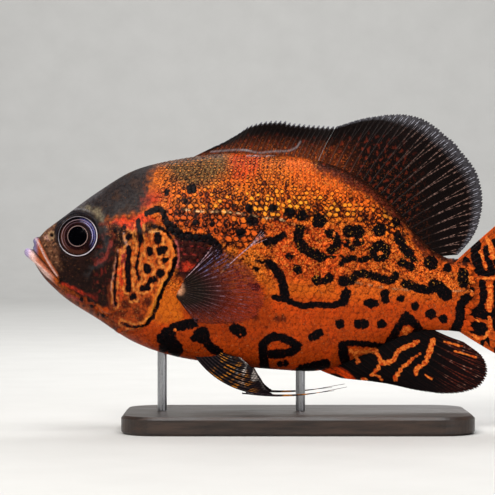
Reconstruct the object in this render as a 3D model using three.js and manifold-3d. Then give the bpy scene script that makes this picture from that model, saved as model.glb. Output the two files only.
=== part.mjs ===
// A tiger oscar, Astronotus ocellatus, life size, as a still model held by a plain display stand.
// Millimetres. The snout points to -X, the fish's left side is -Y, and +Z is up.
// The origin is the middle of the underside of the stand's base.
import * as THREE from "three";
import { mergeVertices } from "three/addons/utils/BufferGeometryUtils.js";
import Module from "manifold-3d";

const wasm = await Module();
wasm.setup();

// The fish hangs on an axis this high above the table, and every height below is counted from it.
const AXIS_HEIGHT = 90;
const GAP = 0.3;
const SIDE_REACH = 45;

// The body without its lips, by cross-sections from the snout to the root of the tail fin:
// the back, the belly and the half width at each place along the fish.
const BODY = [
  { x: -146, top: 13.5, bottom: 0, half: 8 },
  { x: -128, top: 26.8, bottom: -17.3, half: 14.6 },
  { x: -110, top: 40, bottom: -29, half: 19.4 },
  { x: -90, top: 52, bottom: -41.8, half: 22.4 },
  { x: -68, top: 57.8, bottom: -49.7, half: 24 },
  { x: -40, top: 61.5, bottom: -54.2, half: 24 },
  { x: -10, top: 60.3, bottom: -57.3, half: 22 },
  { x: 14, top: 57, bottom: -57.5, half: 18.8 },
  { x: 36, top: 47.3, bottom: -49.5, half: 14.8 },
  { x: 52, top: 34, bottom: -41.3, half: 11.5 },
  { x: 66, top: 16.8, bottom: -36.4, half: 8.8 },
  { x: 80, top: 5.2, bottom: -35.7, half: 6.6 },
  { x: 92, top: 3.2, bottom: -36.7, half: 5.2 },
];
const SNOUT = -146;
const TAIL_ROOT = 88;
const SNOUT_ROUNDING = 9;
const WIDEST = 0.48;
const BACK_ROUNDNESS = 2.05;
const BELLY_ROUNDNESS = 2.2;
const SECTION_SIDES = 32;
const SNOUT_RINGS = 4;
const RING_STEP = 6.2;

const EYE = { x: -119.2, z: 16, radius: 11.2, depth: 7.4, centre: 11 };
const EYE_TURN = THREE.MathUtils.degToRad(7);
const EYE_RIM = { radius: 11.9, thickness: 1.3, lift: 0.5 };
const NOSTRIL = { x: -134, z: 16.6, radius: 1, rim: 0.55, spread: 0.385, tilt: 0.5 };

// The lips follow the mouth from its middle, at the front, round to its corner.
const UPPER_LIP = { front: [-142.8, 12.6], corner: [-130.1, -7.4], half: 12.6, thick: 2.3, thin: 1.4 };
const LOWER_LIP = { front: [-147.4, 6.5], corner: [-130.7, -9], half: 12.4, thick: 2.65, thin: 0.95 };
const LIP_NARROWING = 1.5;
const LIP_STEPS = 7;
const LIP_SIDES = 9;

// Side-view lines of x and height: where the jaws, the head, the trunk and the tail part.
const MOUTH_CORNER = [-129.4, -8.3];
const MOUTH_SLIT = [[-158, 14], [-148.6, 10.3], [-145.2, 8.9], [-137.6, 1.1], MOUTH_CORNER];
const LIP_GROOVE = [[-158, 25], [-145.6, 17.7], [-141.6, 14.2], [-135.4, 3.2], MOUTH_CORNER];
const JAW_LINE = [MOUTH_CORNER, [-120.5, -15.6], [-112, -20.5], [-109.2, -26.5], [-111.5, -40]];
const NECK_LINE = [
  [-86, 66], [-84, 50], [-82.6, 33], [-78.5, 21.5], [-71, 18.6], [-66.6, 8.5], [-68, -1], [-74.8, -13],
  [-79.6, -26.5], [-84.5, -33.6], [-94, -35.5], [-103, -52],
];
const TAIL_LINE = [[60, 60], [61.5, -10], [60, -60]];

// The edge of the gill cover, round from the top of the front plate.
const GILL_COVER = [
  [-96, 13], [-86, 16.6], [-76, 17.2], [-69.8, 8], [-71.4, -1.5], [-78, -14.4], [-83, -27],
  [-90, -31.4], [-99, -27.5], [-102, -13], [-100.6, 3],
];
const GILL_RAISE = 1.1;
const GILL_DEPTH = 2.2;
const GILL_INNER_SIDE = -4;
const GILL_STEPS = 26;
const NECK_STEPS = 26;

// Fins: how far a ray stands out at its root and how much of that it loses, how fast the web thins,
// how deep the root sits in the body, and how a paired fin's web and outer rays end.
const FIN_RIDGE = 0.32;
const PAIRED_RIDGE = 0.256;
const RIDGE_LOSS = 0.6;
const FIN_THINNING = 1.7;
const FIN_ROOT_SINK = 4;
const WEB_LENGTH = 0.965;
const EDGE_WIDTH = 0.5;
const FACING_STEP = 0.04;
const THREAD_TAPER = 0.7;
const THREAD_STEPS = 7;
const THREAD_SIDES = 6;

const SPINY_DORSAL = {
  rays: 13, rows: 4, root: 1.5, tip: 0.3, notch: 1.5, sway: 1.2, bow: 0.03,
  base: [[-55, 60.3], [-24, 61], [12, 57.2]],
  margin: [[-44, 65.4], [-32.2, 72.4], [-24.5, 77.2], [-10, 79], [5, 77.2], [21.5, 76.2]],
};
const SOFT_DORSAL = {
  rays: 20, rows: 6, root: 1.7, tip: 0.3, notch: 0.8, sway: 2.2, bow: 0.03,
  base: [[12.5, 57], [36, 47.3], [52, 34], [66, 16.8], [80, 4.8]],
  margin: [
    [22, 76.2], [37, 80.8], [52, 82.8], [66, 81.4], [78.5, 73.8], [91, 61.8], [99.2, 50], [102, 37.5],
    [100.4, 24], [95.8, 14.2], [88.4, 5.8],
  ],
};
const ANAL_FIN = {
  rays: 18, rows: 6, root: 1.9, tip: 0.3, notch: 0.7, sway: 1.4, bow: -0.03,
  base: [[13, -57.4], [36, -49.5], [52, -41.3], [66, -36.4], [77, -35.8]],
  margin: [
    [24.5, -62], [48, -64.8], [70, -69.2], [88, -70], [100, -66.6], [104.8, -58.5], [102, -50], [91.6, -42],
  ],
};
const TAIL_FIN = {
  rays: 16, rows: 6, root: 3.2, tip: 0.3, notch: 0.7, sway: 1.6,
  base: [[85.5, 0.4], [85.5, -33.8]],
  centre: [95, -14.5], radius: 55, upper: THREE.MathUtils.degToRad(60), lower: THREE.MathUtils.degToRad(-53),
  bulge: [1, -2], bend: 0.42,
};
// Paired fins of the left side, as x, y, z: rays from a base line, past a line of bends, to a line of tips.
const PECTORAL_FIN = {
  rays: 13, rows: 5, root: 1.5, tip: 0.3,
  base: [[-63.5, -22.2, -9.8], [-65.2, -22.2, -16.8]],
  bends: [
    [-54.8, -26.6, 0.6], [-48.6, -28.5, -2.6], [-43.7, -30, -8.2], [-41, -30.5, -15.2], [-44, -29.5, -21.6],
    [-52, -27.4, -23.8], [-60.2, -25.2, -24],
  ],
  tips: [
    [-45.5, -28.5, 12.2], [-33.5, -31.5, 5.4], [-23.5, -33.5, -4.5], [-17.8, -34.5, -17], [-23.5, -32, -27.8],
    [-39, -28.5, -31], [-55, -25.5, -30.8],
  ],
  streamer: { from: [-42.5, -29, -5], bend: [-31, -33.8, 7], to: [-18.7, -33.5, 18.2], thick: 0.55 },
};
const PELVIC_FIN = {
  rays: 7, rows: 6, root: 1, tip: 0.28,
  base: [[-60, -5.5, -43], [-47, -6.5, -43]],
  bends: [
    [-45.5, -12.5, -70], [-41.5, -13.5, -66], [-39, -14.5, -61], [-38.5, -15, -55], [-41, -15, -48.5],
  ],
  tips: [
    [-12, -16, -70.6], [-16.8, -16.6, -67], [-20.8, -17.6, -61.4], [-24.5, -18, -55.6], [-31, -17, -49.6],
  ],
  streamer: { from: [-24, -15, -70], bend: [-6, -17, -73], to: [27, -13, -66], thick: 0.75 },
};

const BASE = { length: 190, width: 92, height: 10, corner: 20, bevel: 1.5 };
const ROD = { radius: 2.6, places: [-74, 2], into: 30, sides: 20 };

// Cubic interpolation of one column of the body's cross-sections.
function along(column, x) {
  const last = BODY.length - 1;
  let i = 0;
  while (i < last - 1 && BODY[i + 1].x <= x) i++;
  const slope = (k) => {
    const [a, b] = [BODY[Math.max(k - 1, 0)], BODY[Math.min(k + 1, last)]];
    return (b[column] - a[column]) / (b.x - a.x);
  };
  const [a, b] = [BODY[i], BODY[i + 1]];
  const span = b.x - a.x;
  const t = (x - a.x) / span;
  const rest = 1 - t;
  return (
    a[column] * (1 + 2 * t) * rest * rest +
    b[column] * (3 - 2 * t) * t * t +
    span * (slope(i) * t * rest * rest - slope(i + 1) * t * t * rest)
  );
}

// A point of the body's surface, moved out by grow. The turn starts on the right side and goes over the back.
function bodyPoint(x, turn, grow = 0) {
  const share = Math.min((x - SNOUT) / SNOUT_ROUNDING, 1);
  const rounding = Math.sqrt(Math.max(share * (2 - share), 0));
  const bottom = along("bottom", x);
  const top = along("top", x);
  const middle = bottom + (top - bottom) * WIDEST;
  const [c, s] = [Math.cos(turn), Math.sin(turn)];
  const roundness = s > 0 ? BACK_ROUNDNESS : BELLY_ROUNDNESS;
  const reach = (s > 0 ? top - middle : middle - bottom) * rounding + grow;
  const half = along("half", x) * rounding + grow;
  const bulge = (value) => Math.sign(value) * Math.abs(value) ** (2 / roundness);
  return new THREE.Vector3(x, half * bulge(c), middle + reach * bulge(s));
}

function geometryOf(points, faces) {
  const geometry = new THREE.BufferGeometry().setFromPoints(points);
  geometry.setIndex(faces);
  return geometry;
}

function middleOf(points) {
  return points.reduce((sum, p) => sum.add(p), new THREE.Vector3()).divideScalar(points.length);
}

// A closed skin over rings of equal count, with a fan over each end.
function skinOver(rings) {
  const count = rings[0].length;
  const points = rings.flat();
  const faces = [];
  const last = (rings.length - 1) * count;
  const ends = [points.push(middleOf(rings[0])) - 1, points.push(middleOf(rings.at(-1))) - 1];
  for (let i = 0; i < count; i++) {
    const next = (i + 1) % count;
    for (let start = 0; start < last; start += count) {
      const [a, b] = [start + i, start + next];
      faces.push(a, b, a + count, b, b + count, a + count);
    }
    faces.push(ends[0], next, i, ends[1], last + i, last + next);
  }
  return geometryOf(points, faces);
}

// The solid inside a closed geometry, turned so that its faces point out.
function solidFrom(geometry) {
  const bare = new THREE.BufferGeometry().setAttribute("position", geometry.getAttribute("position"));
  bare.setIndex(geometry.index);
  const merged = mergeVertices(bare, 1e-4);
  const vertProperties = merged.attributes.position.array;
  const triVerts = new Uint32Array(merged.index.array);
  const corner = (k) => new THREE.Vector3().fromArray(vertProperties, 3 * triVerts[k]);
  let volume = 0;
  for (let i = 0; i < triVerts.length; i += 3) {
    volume += corner(i).dot(corner(i + 1).cross(corner(i + 2)));
  }
  if (volume < 0) triVerts.reverse();
  return new wasm.Manifold(new wasm.Mesh({ numProp: 3, vertProperties, triVerts }));
}

function largestOf(solid) {
  return solid.decompose().reduce((best, s) => (s.volume() > best.volume() ? s : best));
}

function meshOf(name, solid, material) {
  const made = largestOf(solid).getMesh();
  const geometry = new THREE.BufferGeometry();
  geometry.setAttribute("position", new THREE.BufferAttribute(made.vertProperties, 3));
  geometry.setIndex(new THREE.BufferAttribute(made.triVerts, 1));
  geometry.computeVertexNormals();
  const mesh = new THREE.Mesh(geometry, material);
  mesh.name = name;
  return mesh;
}

// The same mesh on the fish's other side.
function mirrored(mesh, name) {
  const other = new THREE.Mesh(mesh.geometry, mesh.material);
  other.name = name;
  other.scale.y = -1;
  return other;
}

// The whole body, or one grown or shrunk by a few tenths of a millimetre.
function bodyLoft(grow = 0) {
  const places = [];
  for (let i = 0; i <= SNOUT_RINGS; i++) {
    places.push(SNOUT + 0.05 + SNOUT_ROUNDING * (1 - Math.cos((i / SNOUT_RINGS) * Math.PI * 0.5)));
  }
  const start = places.at(-1);
  const steps = Math.ceil((TAIL_ROOT - start) / RING_STEP);
  for (let i = 1; i <= steps; i++) places.push(start + ((TAIL_ROOT - start) * i) / steps);
  const turns = Array.from({ length: SECTION_SIDES }, (_, i) => (i / SECTION_SIDES) * Math.PI * 2);
  if (grow > 0) {
    places[0] -= grow;
    places[places.length - 1] += grow;
  }
  const ringAt = (x) => turns.map((turn) => bodyPoint(Math.max(x, SNOUT + 0.05), turn, grow).setX(x));
  return solidFrom(skinOver(places.map(ringAt)));
}

// An upright block of a side-view outline, from one side to the other.
function block(outline, from = -SIDE_REACH, to = SIDE_REACH) {
  const shape = new THREE.Shape(outline.map(([x, z]) => new THREE.Vector2(x, z)));
  const geometry = new THREE.ExtrudeGeometry(shape, { depth: to - from, bevelEnabled: false });
  geometry.rotateX(Math.PI / 2);
  geometry.translate(0, to, 0);
  return solidFrom(geometry);
}

// Each point of a line in the side view, moved to one side of it by a distance.
function beside(line, distance, closed = false) {
  const count = line.length;
  return line.map(([x, z], i) => {
    const before = closed ? line[(i + count - 1) % count] : line[Math.max(i - 1, 0)];
    const after = closed ? line[(i + 1) % count] : line[Math.min(i + 1, count - 1)];
    const [dx, dz] = [after[0] - before[0], after[1] - before[1]];
    const size = Math.hypot(dx, dz);
    return [x - (dz / size) * distance, z + (dx / size) * distance];
  });
}

// The thin saw cut along a side-view line.
function cutAlong(line) {
  return block([...beside(line, GAP / 2), ...beside(line, -GAP / 2).reverse()]);
}

function smoothLine(points, steps, closed = false) {
  const curve = new THREE.CatmullRomCurve3(
    points.map(([x, z]) => new THREE.Vector3(x, 0, z)), closed, "centripetal",
  );
  return curve.getPoints(steps).map((p) => [p.x, p.z]);
}

// A lip: a round bead along the mouth from corner to corner, thickest in front.
function lip({ front, corner, half, thick, thin }) {
  const rings = [];
  for (let i = -LIP_STEPS; i <= LIP_STEPS; i++) {
    const turn = (i / LIP_STEPS) * Math.PI * 0.5;
    const share = 1 - Math.cos(turn);
    const centre = new THREE.Vector3(
      front[0] + (corner[0] - front[0]) * share,
      half * Math.sin(turn),
      front[1] + (corner[1] - front[1]) * share,
    );
    const radius = thick + (thin - thick) * Math.abs(Math.sin(turn)) ** LIP_NARROWING;
    const outward = new THREE.Vector3(-Math.cos(turn), Math.sin(turn), 0);
    const ring = [];
    for (let k = 0; k < LIP_SIDES; k++) {
      const angle = (k / LIP_SIDES) * Math.PI * 2;
      const point = centre.clone().addScaledVector(outward, radius * Math.cos(angle));
      ring.push(point.setZ(point.z + radius * Math.sin(angle)));
    }
    rings.push(ring);
  }
  return solidFrom(skinOver(rings));
}

// Places a shape on the side of the head, turned a little forward and upward with the eye.
function onLeftCheek(geometry, x, y, z) {
  geometry.rotateX(-EYE_TURN);
  geometry.rotateZ(-EYE_TURN);
  geometry.translate(x, y, z);
  return geometry;
}

function eyeBall(grow = 0) {
  const ball = new THREE.SphereGeometry(1, 20, 10);
  ball.rotateX(Math.PI);
  ball.scale(EYE.radius + grow, EYE.depth + grow, EYE.radius + grow);
  return solidFrom(onLeftCheek(ball, EYE.x, -EYE.centre, EYE.z));
}

// The raised rim of skin round the eye.
function eyeRim() {
  const rim = new THREE.TorusGeometry(EYE_RIM.radius, EYE_RIM.thickness, 6, 22);
  rim.rotateX(Math.PI / 2);
  return solidFrom(onLeftCheek(rim, EYE.x, -EYE.centre - EYE.depth * EYE_RIM.lift, EYE.z));
}

// Where the left side of the body lies at a place and height.
function leftSideAt(x, z) {
  const bottom = along("bottom", x);
  const top = along("top", x);
  const middle = bottom + (top - bottom) * WIDEST;
  const reach = z > middle ? top - middle : middle - bottom;
  const roundness = z > middle ? BACK_ROUNDNESS : BELLY_ROUNDNESS;
  return -along("half", x) * (1 - Math.abs((z - middle) / reach) ** roundness) ** (1 / roundness);
}

function nostrilParts() {
  const side = leftSideAt(NOSTRIL.x, NOSTRIL.z);
  const rim = new THREE.TorusGeometry(NOSTRIL.radius + NOSTRIL.spread, NOSTRIL.rim, 5, 10);
  rim.rotateX(Math.PI / 2 - NOSTRIL.tilt);
  rim.translate(NOSTRIL.x, side, NOSTRIL.z);
  const pit = new THREE.SphereGeometry(NOSTRIL.radius, 8, 6);
  pit.translate(NOSTRIL.x, side, NOSTRIL.z);
  return { rim: solidFrom(rim), pit: solidFrom(pit) };
}

function bothSides(solid) {
  return solid.add(solid.mirror([0, 1, 0]));
}

// A fin sheet: columns of points from root to margin, two columns to each ray, the ray standing out from the web.
// The two faces are split into triangles alike.
function finSolid({ rays, rows, root, tip, place, side, peak = FIN_RIDGE }) {
  const columns = 2 * rays;
  const points = [];
  for (let i = 0; i <= columns; i++) {
    const isRay = i % 2 === 1;
    for (let j = 0; j <= rows; j++) {
      const out = j / rows;
      const centre = place(i / columns, out, isRay);
      const raised = isRay ? peak * (1 - RIDGE_LOSS * out) : 0;
      const half = tip + (root - tip) * (1 - out) ** FIN_THINNING + raised;
      const across = side(i / columns, out).multiplyScalar(half);
      points.push(centre.clone().sub(across), centre.clone().add(across));
    }
  }
  const at = (i, j, face) => 2 * (i * (rows + 1) + j) + face;
  const faces = [];
  const quad = (a, b, c, d) => faces.push(a, b, c, b, d, c);
  for (let i = 0; i < columns; i++) {
    for (let j = 0; j < rows; j++) {
      quad(at(i, j, 0), at(i, j + 1, 0), at(i + 1, j, 0), at(i + 1, j + 1, 0));
      faces.push(at(i, j, 1), at(i + 1, j, 1), at(i, j + 1, 1));
      faces.push(at(i, j + 1, 1), at(i + 1, j, 1), at(i + 1, j + 1, 1));
    }
    quad(at(i, 0, 1), at(i, 0, 0), at(i + 1, 0, 1), at(i + 1, 0, 0));
    quad(at(i, rows, 0), at(i, rows, 1), at(i + 1, rows, 0), at(i + 1, rows, 1));
  }
  for (let j = 0; j < rows; j++) {
    quad(at(0, j, 1), at(0, j + 1, 1), at(0, j, 0), at(0, j + 1, 0));
    quad(at(columns, j, 0), at(columns, j + 1, 0), at(columns, j, 1), at(columns, j + 1, 1));
  }
  return solidFrom(geometryOf(points, faces));
}

const toTheRight = () => new THREE.Vector3(0, 1, 0);

// A fin in the fish's middle plane, between a base line on the body and a free margin.
function middleFin({ base, margin, rays, rows, root, tip, notch, sway, bow }) {
  const curve = (line) =>
    new THREE.CatmullRomCurve3(line.map(([x, z]) => new THREE.Vector3(x, 0, z)), false, "centripetal");
  const [baseCurve, marginCurve] = [curve(base), curve(margin)];
  const place = (share, out, isRay) => {
    const from = baseCurve.getPointAt(share);
    const to = marginCurve.getPointAt(share);
    const ray = to.clone().sub(from);
    const length = ray.length();
    const reach = isRay ? 1 : 1 - notch / length;
    const sunk = FIN_ROOT_SINK / length;
    const point = from.clone().addScaledVector(ray, -sunk + (reach + sunk) * out);
    const bend = bow * length * Math.sin(Math.PI * out);
    point.addScaledVector(new THREE.Vector3(-ray.z, 0, ray.x).normalize(), bend);
    point.y = sway * out * out * Math.sin(share * Math.PI * 3);
    return point;
  };
  return finSolid({ rays, rows, root, tip, place, side: toTheRight });
}

// The tail fin: rays fan out from the end of the body, and the outer ones bend back.
function tailFin({ rays, rows, root, tip, notch, sway, base, centre, radius, upper, lower, bulge, bend }) {
  const { lerp } = THREE.MathUtils;
  const place = (share, out, isRay) => {
    const angle = lerp(upper, lower, share);
    const reach = isRay ? radius : radius - notch;
    const from = new THREE.Vector3(lerp(base[0][0], base[1][0], share), 0, lerp(base[0][1], base[1][1], share));
    const to = new THREE.Vector3(centre[0] + reach * Math.cos(angle), 0, centre[1] + reach * Math.sin(angle));
    const turn = from.clone().lerp(to, bend);
    turn.z += lerp(bulge[0], bulge[1], share);
    const point = new THREE.QuadraticBezierCurve3(from, turn, to).getPoint(out);
    point.y = sway * out * out * Math.sin(share * Math.PI * 2);
    return point;
  };
  return finSolid({ rays, rows, root, tip, place, side: toTheRight });
}

// A ray that runs out past the web, as a thread that narrows to its tip.
function threadSolid({ from, bend, to, thick }) {
  const path = new THREE.QuadraticBezierCurve3(...[from, bend, to].map((point) => new THREE.Vector3(...point)));
  const rings = [];
  for (let i = 0; i <= THREAD_STEPS; i++) {
    const share = i / THREAD_STEPS;
    const forward = path.getTangent(share);
    const across = new THREE.Vector3(0, 1, 0).cross(forward).normalize();
    const outward = forward.cross(across);
    const radius = thick * (1 - THREAD_TAPER * share);
    const ring = [];
    for (let k = 0; k < THREAD_SIDES; k++) {
      const angle = (k / THREAD_SIDES) * Math.PI * 2;
      const point = path.getPoint(share).addScaledVector(across, radius * Math.cos(angle));
      ring.push(point.addScaledVector(outward, radius * Math.sin(angle)));
    }
    rings.push(ring);
  }
  return solidFrom(skinOver(rings));
}

// A paired fin of the left side, its web a little shorter than its rays.
function pairedFin({ rays, rows, root, tip, base, bends, tips, streamer }) {
  const curve = (line) =>
    new THREE.CatmullRomCurve3(line.map((point) => new THREE.Vector3(...point)), false, "centripetal");
  const [baseLine, bendLine, tipLine] = [curve(base), curve(bends), curve(tips)];
  const rayAt = (share) => {
    const place = THREE.MathUtils.clamp((share * rays - 0.5) / (rays - 1), 0, 1);
    const from = baseLine.getPoint(share);
    return new THREE.QuadraticBezierCurve3(from, bendLine.getPoint(place), tipLine.getPoint(place));
  };
  const place = (share, out, isRay) => {
    const fromEdge = Math.min(share, 1 - share) === 0 ? Math.sign(share - 0.5) : 0;
    const point = rayAt(share).getPoint(out * (isRay ? 1 : WEB_LENGTH));
    return point.add(new THREE.Vector3(0, 0, -EDGE_WIDTH * fromEdge * out));
  };
  const side = (share, out) => {
    const alongRay = rayAt(share).getTangent(out);
    const beyond = rayAt(Math.min(share + FACING_STEP, 1)).getPoint(out);
    const acrossRays = beyond.sub(rayAt(Math.max(share - FACING_STEP, 0)).getPoint(out));
    return alongRay.cross(acrossRays).normalize();
  };
  return finSolid({ rays, rows, root, tip, place, side, peak: PAIRED_RIDGE }).add(threadSolid(streamer));
}

function material(color, roughness, metalness = 0) {
  return new THREE.MeshStandardMaterial({ color, roughness, metalness });
}
const flesh = material("#b8481a", 0.45);
const headSkin = material("#4a3a34", 0.5);
const lipSkin = material("#b99a9c", 0.4);
const gillSkin = material("#c8551c", 0.45);
const eyeSurface = material("#171219", 0.12);
const darkFin = material("#33221d", 0.5);
const clearFin = material("#6b3a30", 0.5);
const baseWood = material("#2c2a29", 0.6);
const rodSteel = material("#9a9c9e", 0.3, 1);

const aroundBody = bodyLoft(GAP);

// The flesh as one piece, with lips, eye rims and nostrils, then parted by thin cuts.
function fleshPieces() {
  const nostril = nostrilParts();
  const openings = bothSides(eyeBall(GAP).add(nostril.pit));
  const raised = bothSides(eyeRim().add(nostril.rim));
  const whole = bodyLoft().add(lip(UPPER_LIP)).add(lip(LOWER_LIP)).add(raised).subtract(openings);
  const lines = [MOUTH_SLIT, LIP_GROOVE, JAW_LINE, smoothLine(NECK_LINE, NECK_STEPS), TAIL_LINE];
  return lines.reduce((left, line) => left.subtract(cutAlong(line)), whole).decompose();
}

// The piece with a corner nearest to a side-view point on the left side.
function pieceNear(pieces, x, y, z) {
  const distance = (piece) => {
    const { vertProperties, numVert } = piece.getMesh();
    let nearest = Infinity;
    for (let i = 0; i < numVert; i++) {
      const [px, py, pz] = vertProperties.subarray(3 * i, 3 * i + 3);
      nearest = Math.min(nearest, Math.hypot(px - x, py - y, pz - z));
    }
    return nearest;
  };
  return pieces.reduce((best, piece) => (distance(piece) < distance(best) ? piece : best));
}

function gillCover() {
  const edge = smoothLine(GILL_COVER, GILL_STEPS, true).slice(0, -1);
  const plate = bodyLoft(GILL_RAISE)
    .intersect(block(edge, -SIDE_REACH, GILL_INNER_SIDE))
    .subtract(bodyLoft(-GILL_DEPTH));
  const bed = block(beside(edge, GAP, true), -SIDE_REACH, GILL_INNER_SIDE + GAP);
  const room = bed.subtract(bodyLoft(-GILL_DEPTH - GAP));
  return { plate, room };
}

const fish = new THREE.Group();
fish.position.z = AXIS_HEIGHT;

const pieces = fleshPieces();
const gill = gillCover();
const headPiece = pieceNear(pieces, -105, -15, 25).subtract(bothSides(gill.room));
const leftGill = meshOf("gill_cover_left", gill.plate, gillSkin);
const leftEye = meshOf("eye_left", eyeBall(), eyeSurface);
const leftPectoral = meshOf("pectoral_fin_left", pairedFin(PECTORAL_FIN).subtract(aroundBody), clearFin);
const leftPelvic = meshOf("pelvic_fin_left", pairedFin(PELVIC_FIN).subtract(aroundBody), clearFin);

fish.add(
  meshOf("head", headPiece, headSkin),
  meshOf("upper_jaw", pieceNear(pieces, -146, 0, 13), lipSkin),
  meshOf("lower_jaw", pieceNear(pieces, -150, 0, 6), lipSkin),
  meshOf("trunk", pieceNear(pieces, -20, -22, 0), flesh),
  meshOf("tail_stem", pieceNear(pieces, 80, -6, -15), flesh),
  leftGill,
  mirrored(leftGill, "gill_cover_right"),
  leftEye,
  mirrored(leftEye, "eye_right"),
  meshOf("dorsal_fin_spiny", middleFin(SPINY_DORSAL).subtract(aroundBody), darkFin),
  meshOf("dorsal_fin_soft", middleFin(SOFT_DORSAL).subtract(aroundBody), darkFin),
  meshOf("anal_fin", middleFin(ANAL_FIN).subtract(aroundBody), darkFin),
  meshOf("tail_fin", tailFin(TAIL_FIN).subtract(aroundBody), darkFin),
  leftPectoral,
  mirrored(leftPectoral, "pectoral_fin_right"),
  leftPelvic,
  mirrored(leftPelvic, "pelvic_fin_right"),
);

// The stand: a flat base with rounded corners and two rods that end at the belly.
function standBase() {
  const { length, width, height, corner, bevel } = BASE;
  const [x, y, inset] = [length / 2 - bevel, width / 2 - bevel, corner - bevel];
  const outline = new THREE.Shape();
  outline.absarc(x - inset, y - inset, inset, 0, Math.PI / 2);
  outline.absarc(-x + inset, y - inset, inset, Math.PI / 2, Math.PI);
  outline.absarc(-x + inset, -y + inset, inset, Math.PI, Math.PI * 1.5);
  outline.absarc(x - inset, -y + inset, inset, Math.PI * 1.5, Math.PI * 2);
  const geometry = new THREE.ExtrudeGeometry(outline, {
    depth: height - 2 * bevel,
    bevelThickness: bevel,
    bevelSize: bevel,
    bevelSegments: 1,
    curveSegments: 6,
  });
  geometry.translate(0, 0, bevel);
  return meshOf("stand_base", solidFrom(geometry), baseWood);
}

function standRod(name, x) {
  const top = AXIS_HEIGHT + along("bottom", x) + ROD.into;
  const bottom = BASE.height + GAP;
  const geometry = new THREE.CylinderGeometry(ROD.radius, ROD.radius, top - bottom, ROD.sides);
  geometry.rotateX(Math.PI / 2);
  geometry.translate(x, 0, (top + bottom) / 2 - AXIS_HEIGHT);
  const rod = meshOf(name, solidFrom(geometry).subtract(aroundBody), rodSteel);
  rod.position.z = AXIS_HEIGHT;
  return rod;
}

const model = new THREE.Group();
model.add(fish, standBase(), ...ROD.places.map((x, i) => standRod(`stand_rod_${i + 1}`, x)));

export default model;
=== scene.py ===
# The looks of a life-size tiger oscar, Astronotus ocellatus, on a plain display stand.
# Lengths are millimetres until a mesh is made. Heights of the fish are counted from its axis.
# Its side view is x along the fish, snout at the low end, and z up. Its left side faces -Y.
import math

import bpy
import numpy as np
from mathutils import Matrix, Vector


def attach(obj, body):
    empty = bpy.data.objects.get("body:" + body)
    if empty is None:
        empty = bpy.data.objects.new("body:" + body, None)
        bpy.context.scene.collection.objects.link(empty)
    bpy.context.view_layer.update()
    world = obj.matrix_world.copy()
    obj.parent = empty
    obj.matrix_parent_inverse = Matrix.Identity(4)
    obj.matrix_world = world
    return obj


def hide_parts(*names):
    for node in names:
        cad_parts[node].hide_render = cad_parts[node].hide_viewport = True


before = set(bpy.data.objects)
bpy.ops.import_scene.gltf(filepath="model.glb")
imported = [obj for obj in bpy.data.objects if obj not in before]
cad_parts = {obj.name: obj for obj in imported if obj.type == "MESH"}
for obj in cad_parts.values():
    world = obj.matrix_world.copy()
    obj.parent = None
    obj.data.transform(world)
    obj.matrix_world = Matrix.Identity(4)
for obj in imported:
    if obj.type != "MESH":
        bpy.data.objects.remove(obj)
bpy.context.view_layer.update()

MM = 0.001
AXIS_HEIGHT = 90.0
LEFT, RIGHT = -1, 1
TINY = 1e-9


# The camera and its frame

PIXEL = 0.55
VIEW_PIXELS = 495
CAMERA = {"x": -27.1, "height": 99.85, "distance": 1150.0, "sensor": 36.0}


def make_camera():
    data = bpy.data.cameras.new("camera")
    data.sensor_width = CAMERA["sensor"]
    data.lens = CAMERA["sensor"] * CAMERA["distance"] / (PIXEL * VIEW_PIXELS)
    camera = bpy.data.objects.new("camera", data)
    camera.location = (CAMERA["x"] * MM, -CAMERA["distance"] * MM, CAMERA["height"] * MM)
    camera.rotation_euler = (math.pi / 2, 0, 0)
    bpy.context.collection.objects.link(camera)
    bpy.context.scene.camera = camera


# The body's shape

BODY_X = [-146, -128, -110, -90, -68, -40, -10, 14, 36, 52, 66, 80, 92]
BODY_TOP = [13.5, 26.8, 40, 52, 57.8, 61.5, 60.3, 57, 47.3, 34, 16.8, 5.2, 3.2]
BODY_BOTTOM = [0, -17.3, -29, -41.8, -49.7, -54.2, -57.3, -57.5, -49.5, -41.3, -36.4, -35.7, -36.7]
BODY_HALF = [8, 14.6, 19.4, 22.4, 24, 24, 22, 18.8, 14.8, 11.5, 8.8, 6.6, 5.2]
SNOUT = -146.0
SKIN_END = 91.0
SNOUT_ROUNDING = 9.0
WIDEST = 0.48
BACK_ROUNDNESS = 2.05
BELLY_ROUNDNESS = 2.2


def along(values, x):
    """A smooth line through the body's measures, at each x."""
    xs, values = np.array(BODY_X, float), np.array(values, float)
    slopes = np.empty_like(values)
    slopes[1:-1] = (values[2:] - values[:-2]) / (xs[2:] - xs[:-2])
    slopes[0] = (values[1] - values[0]) / (xs[1] - xs[0])
    slopes[-1] = (values[-1] - values[-2]) / (xs[-1] - xs[-2])
    i = np.clip(np.searchsorted(xs, x, "right") - 1, 0, len(xs) - 2)
    span = xs[i + 1] - xs[i]
    t = (x - xs[i]) / span
    rest = 1 - t
    return (
        values[i] * (1 + 2 * t) * rest**2
        + values[i + 1] * (3 - 2 * t) * t**2
        + span * (slopes[i] * t * rest**2 - slopes[i + 1] * t**2 * rest)
    )


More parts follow.
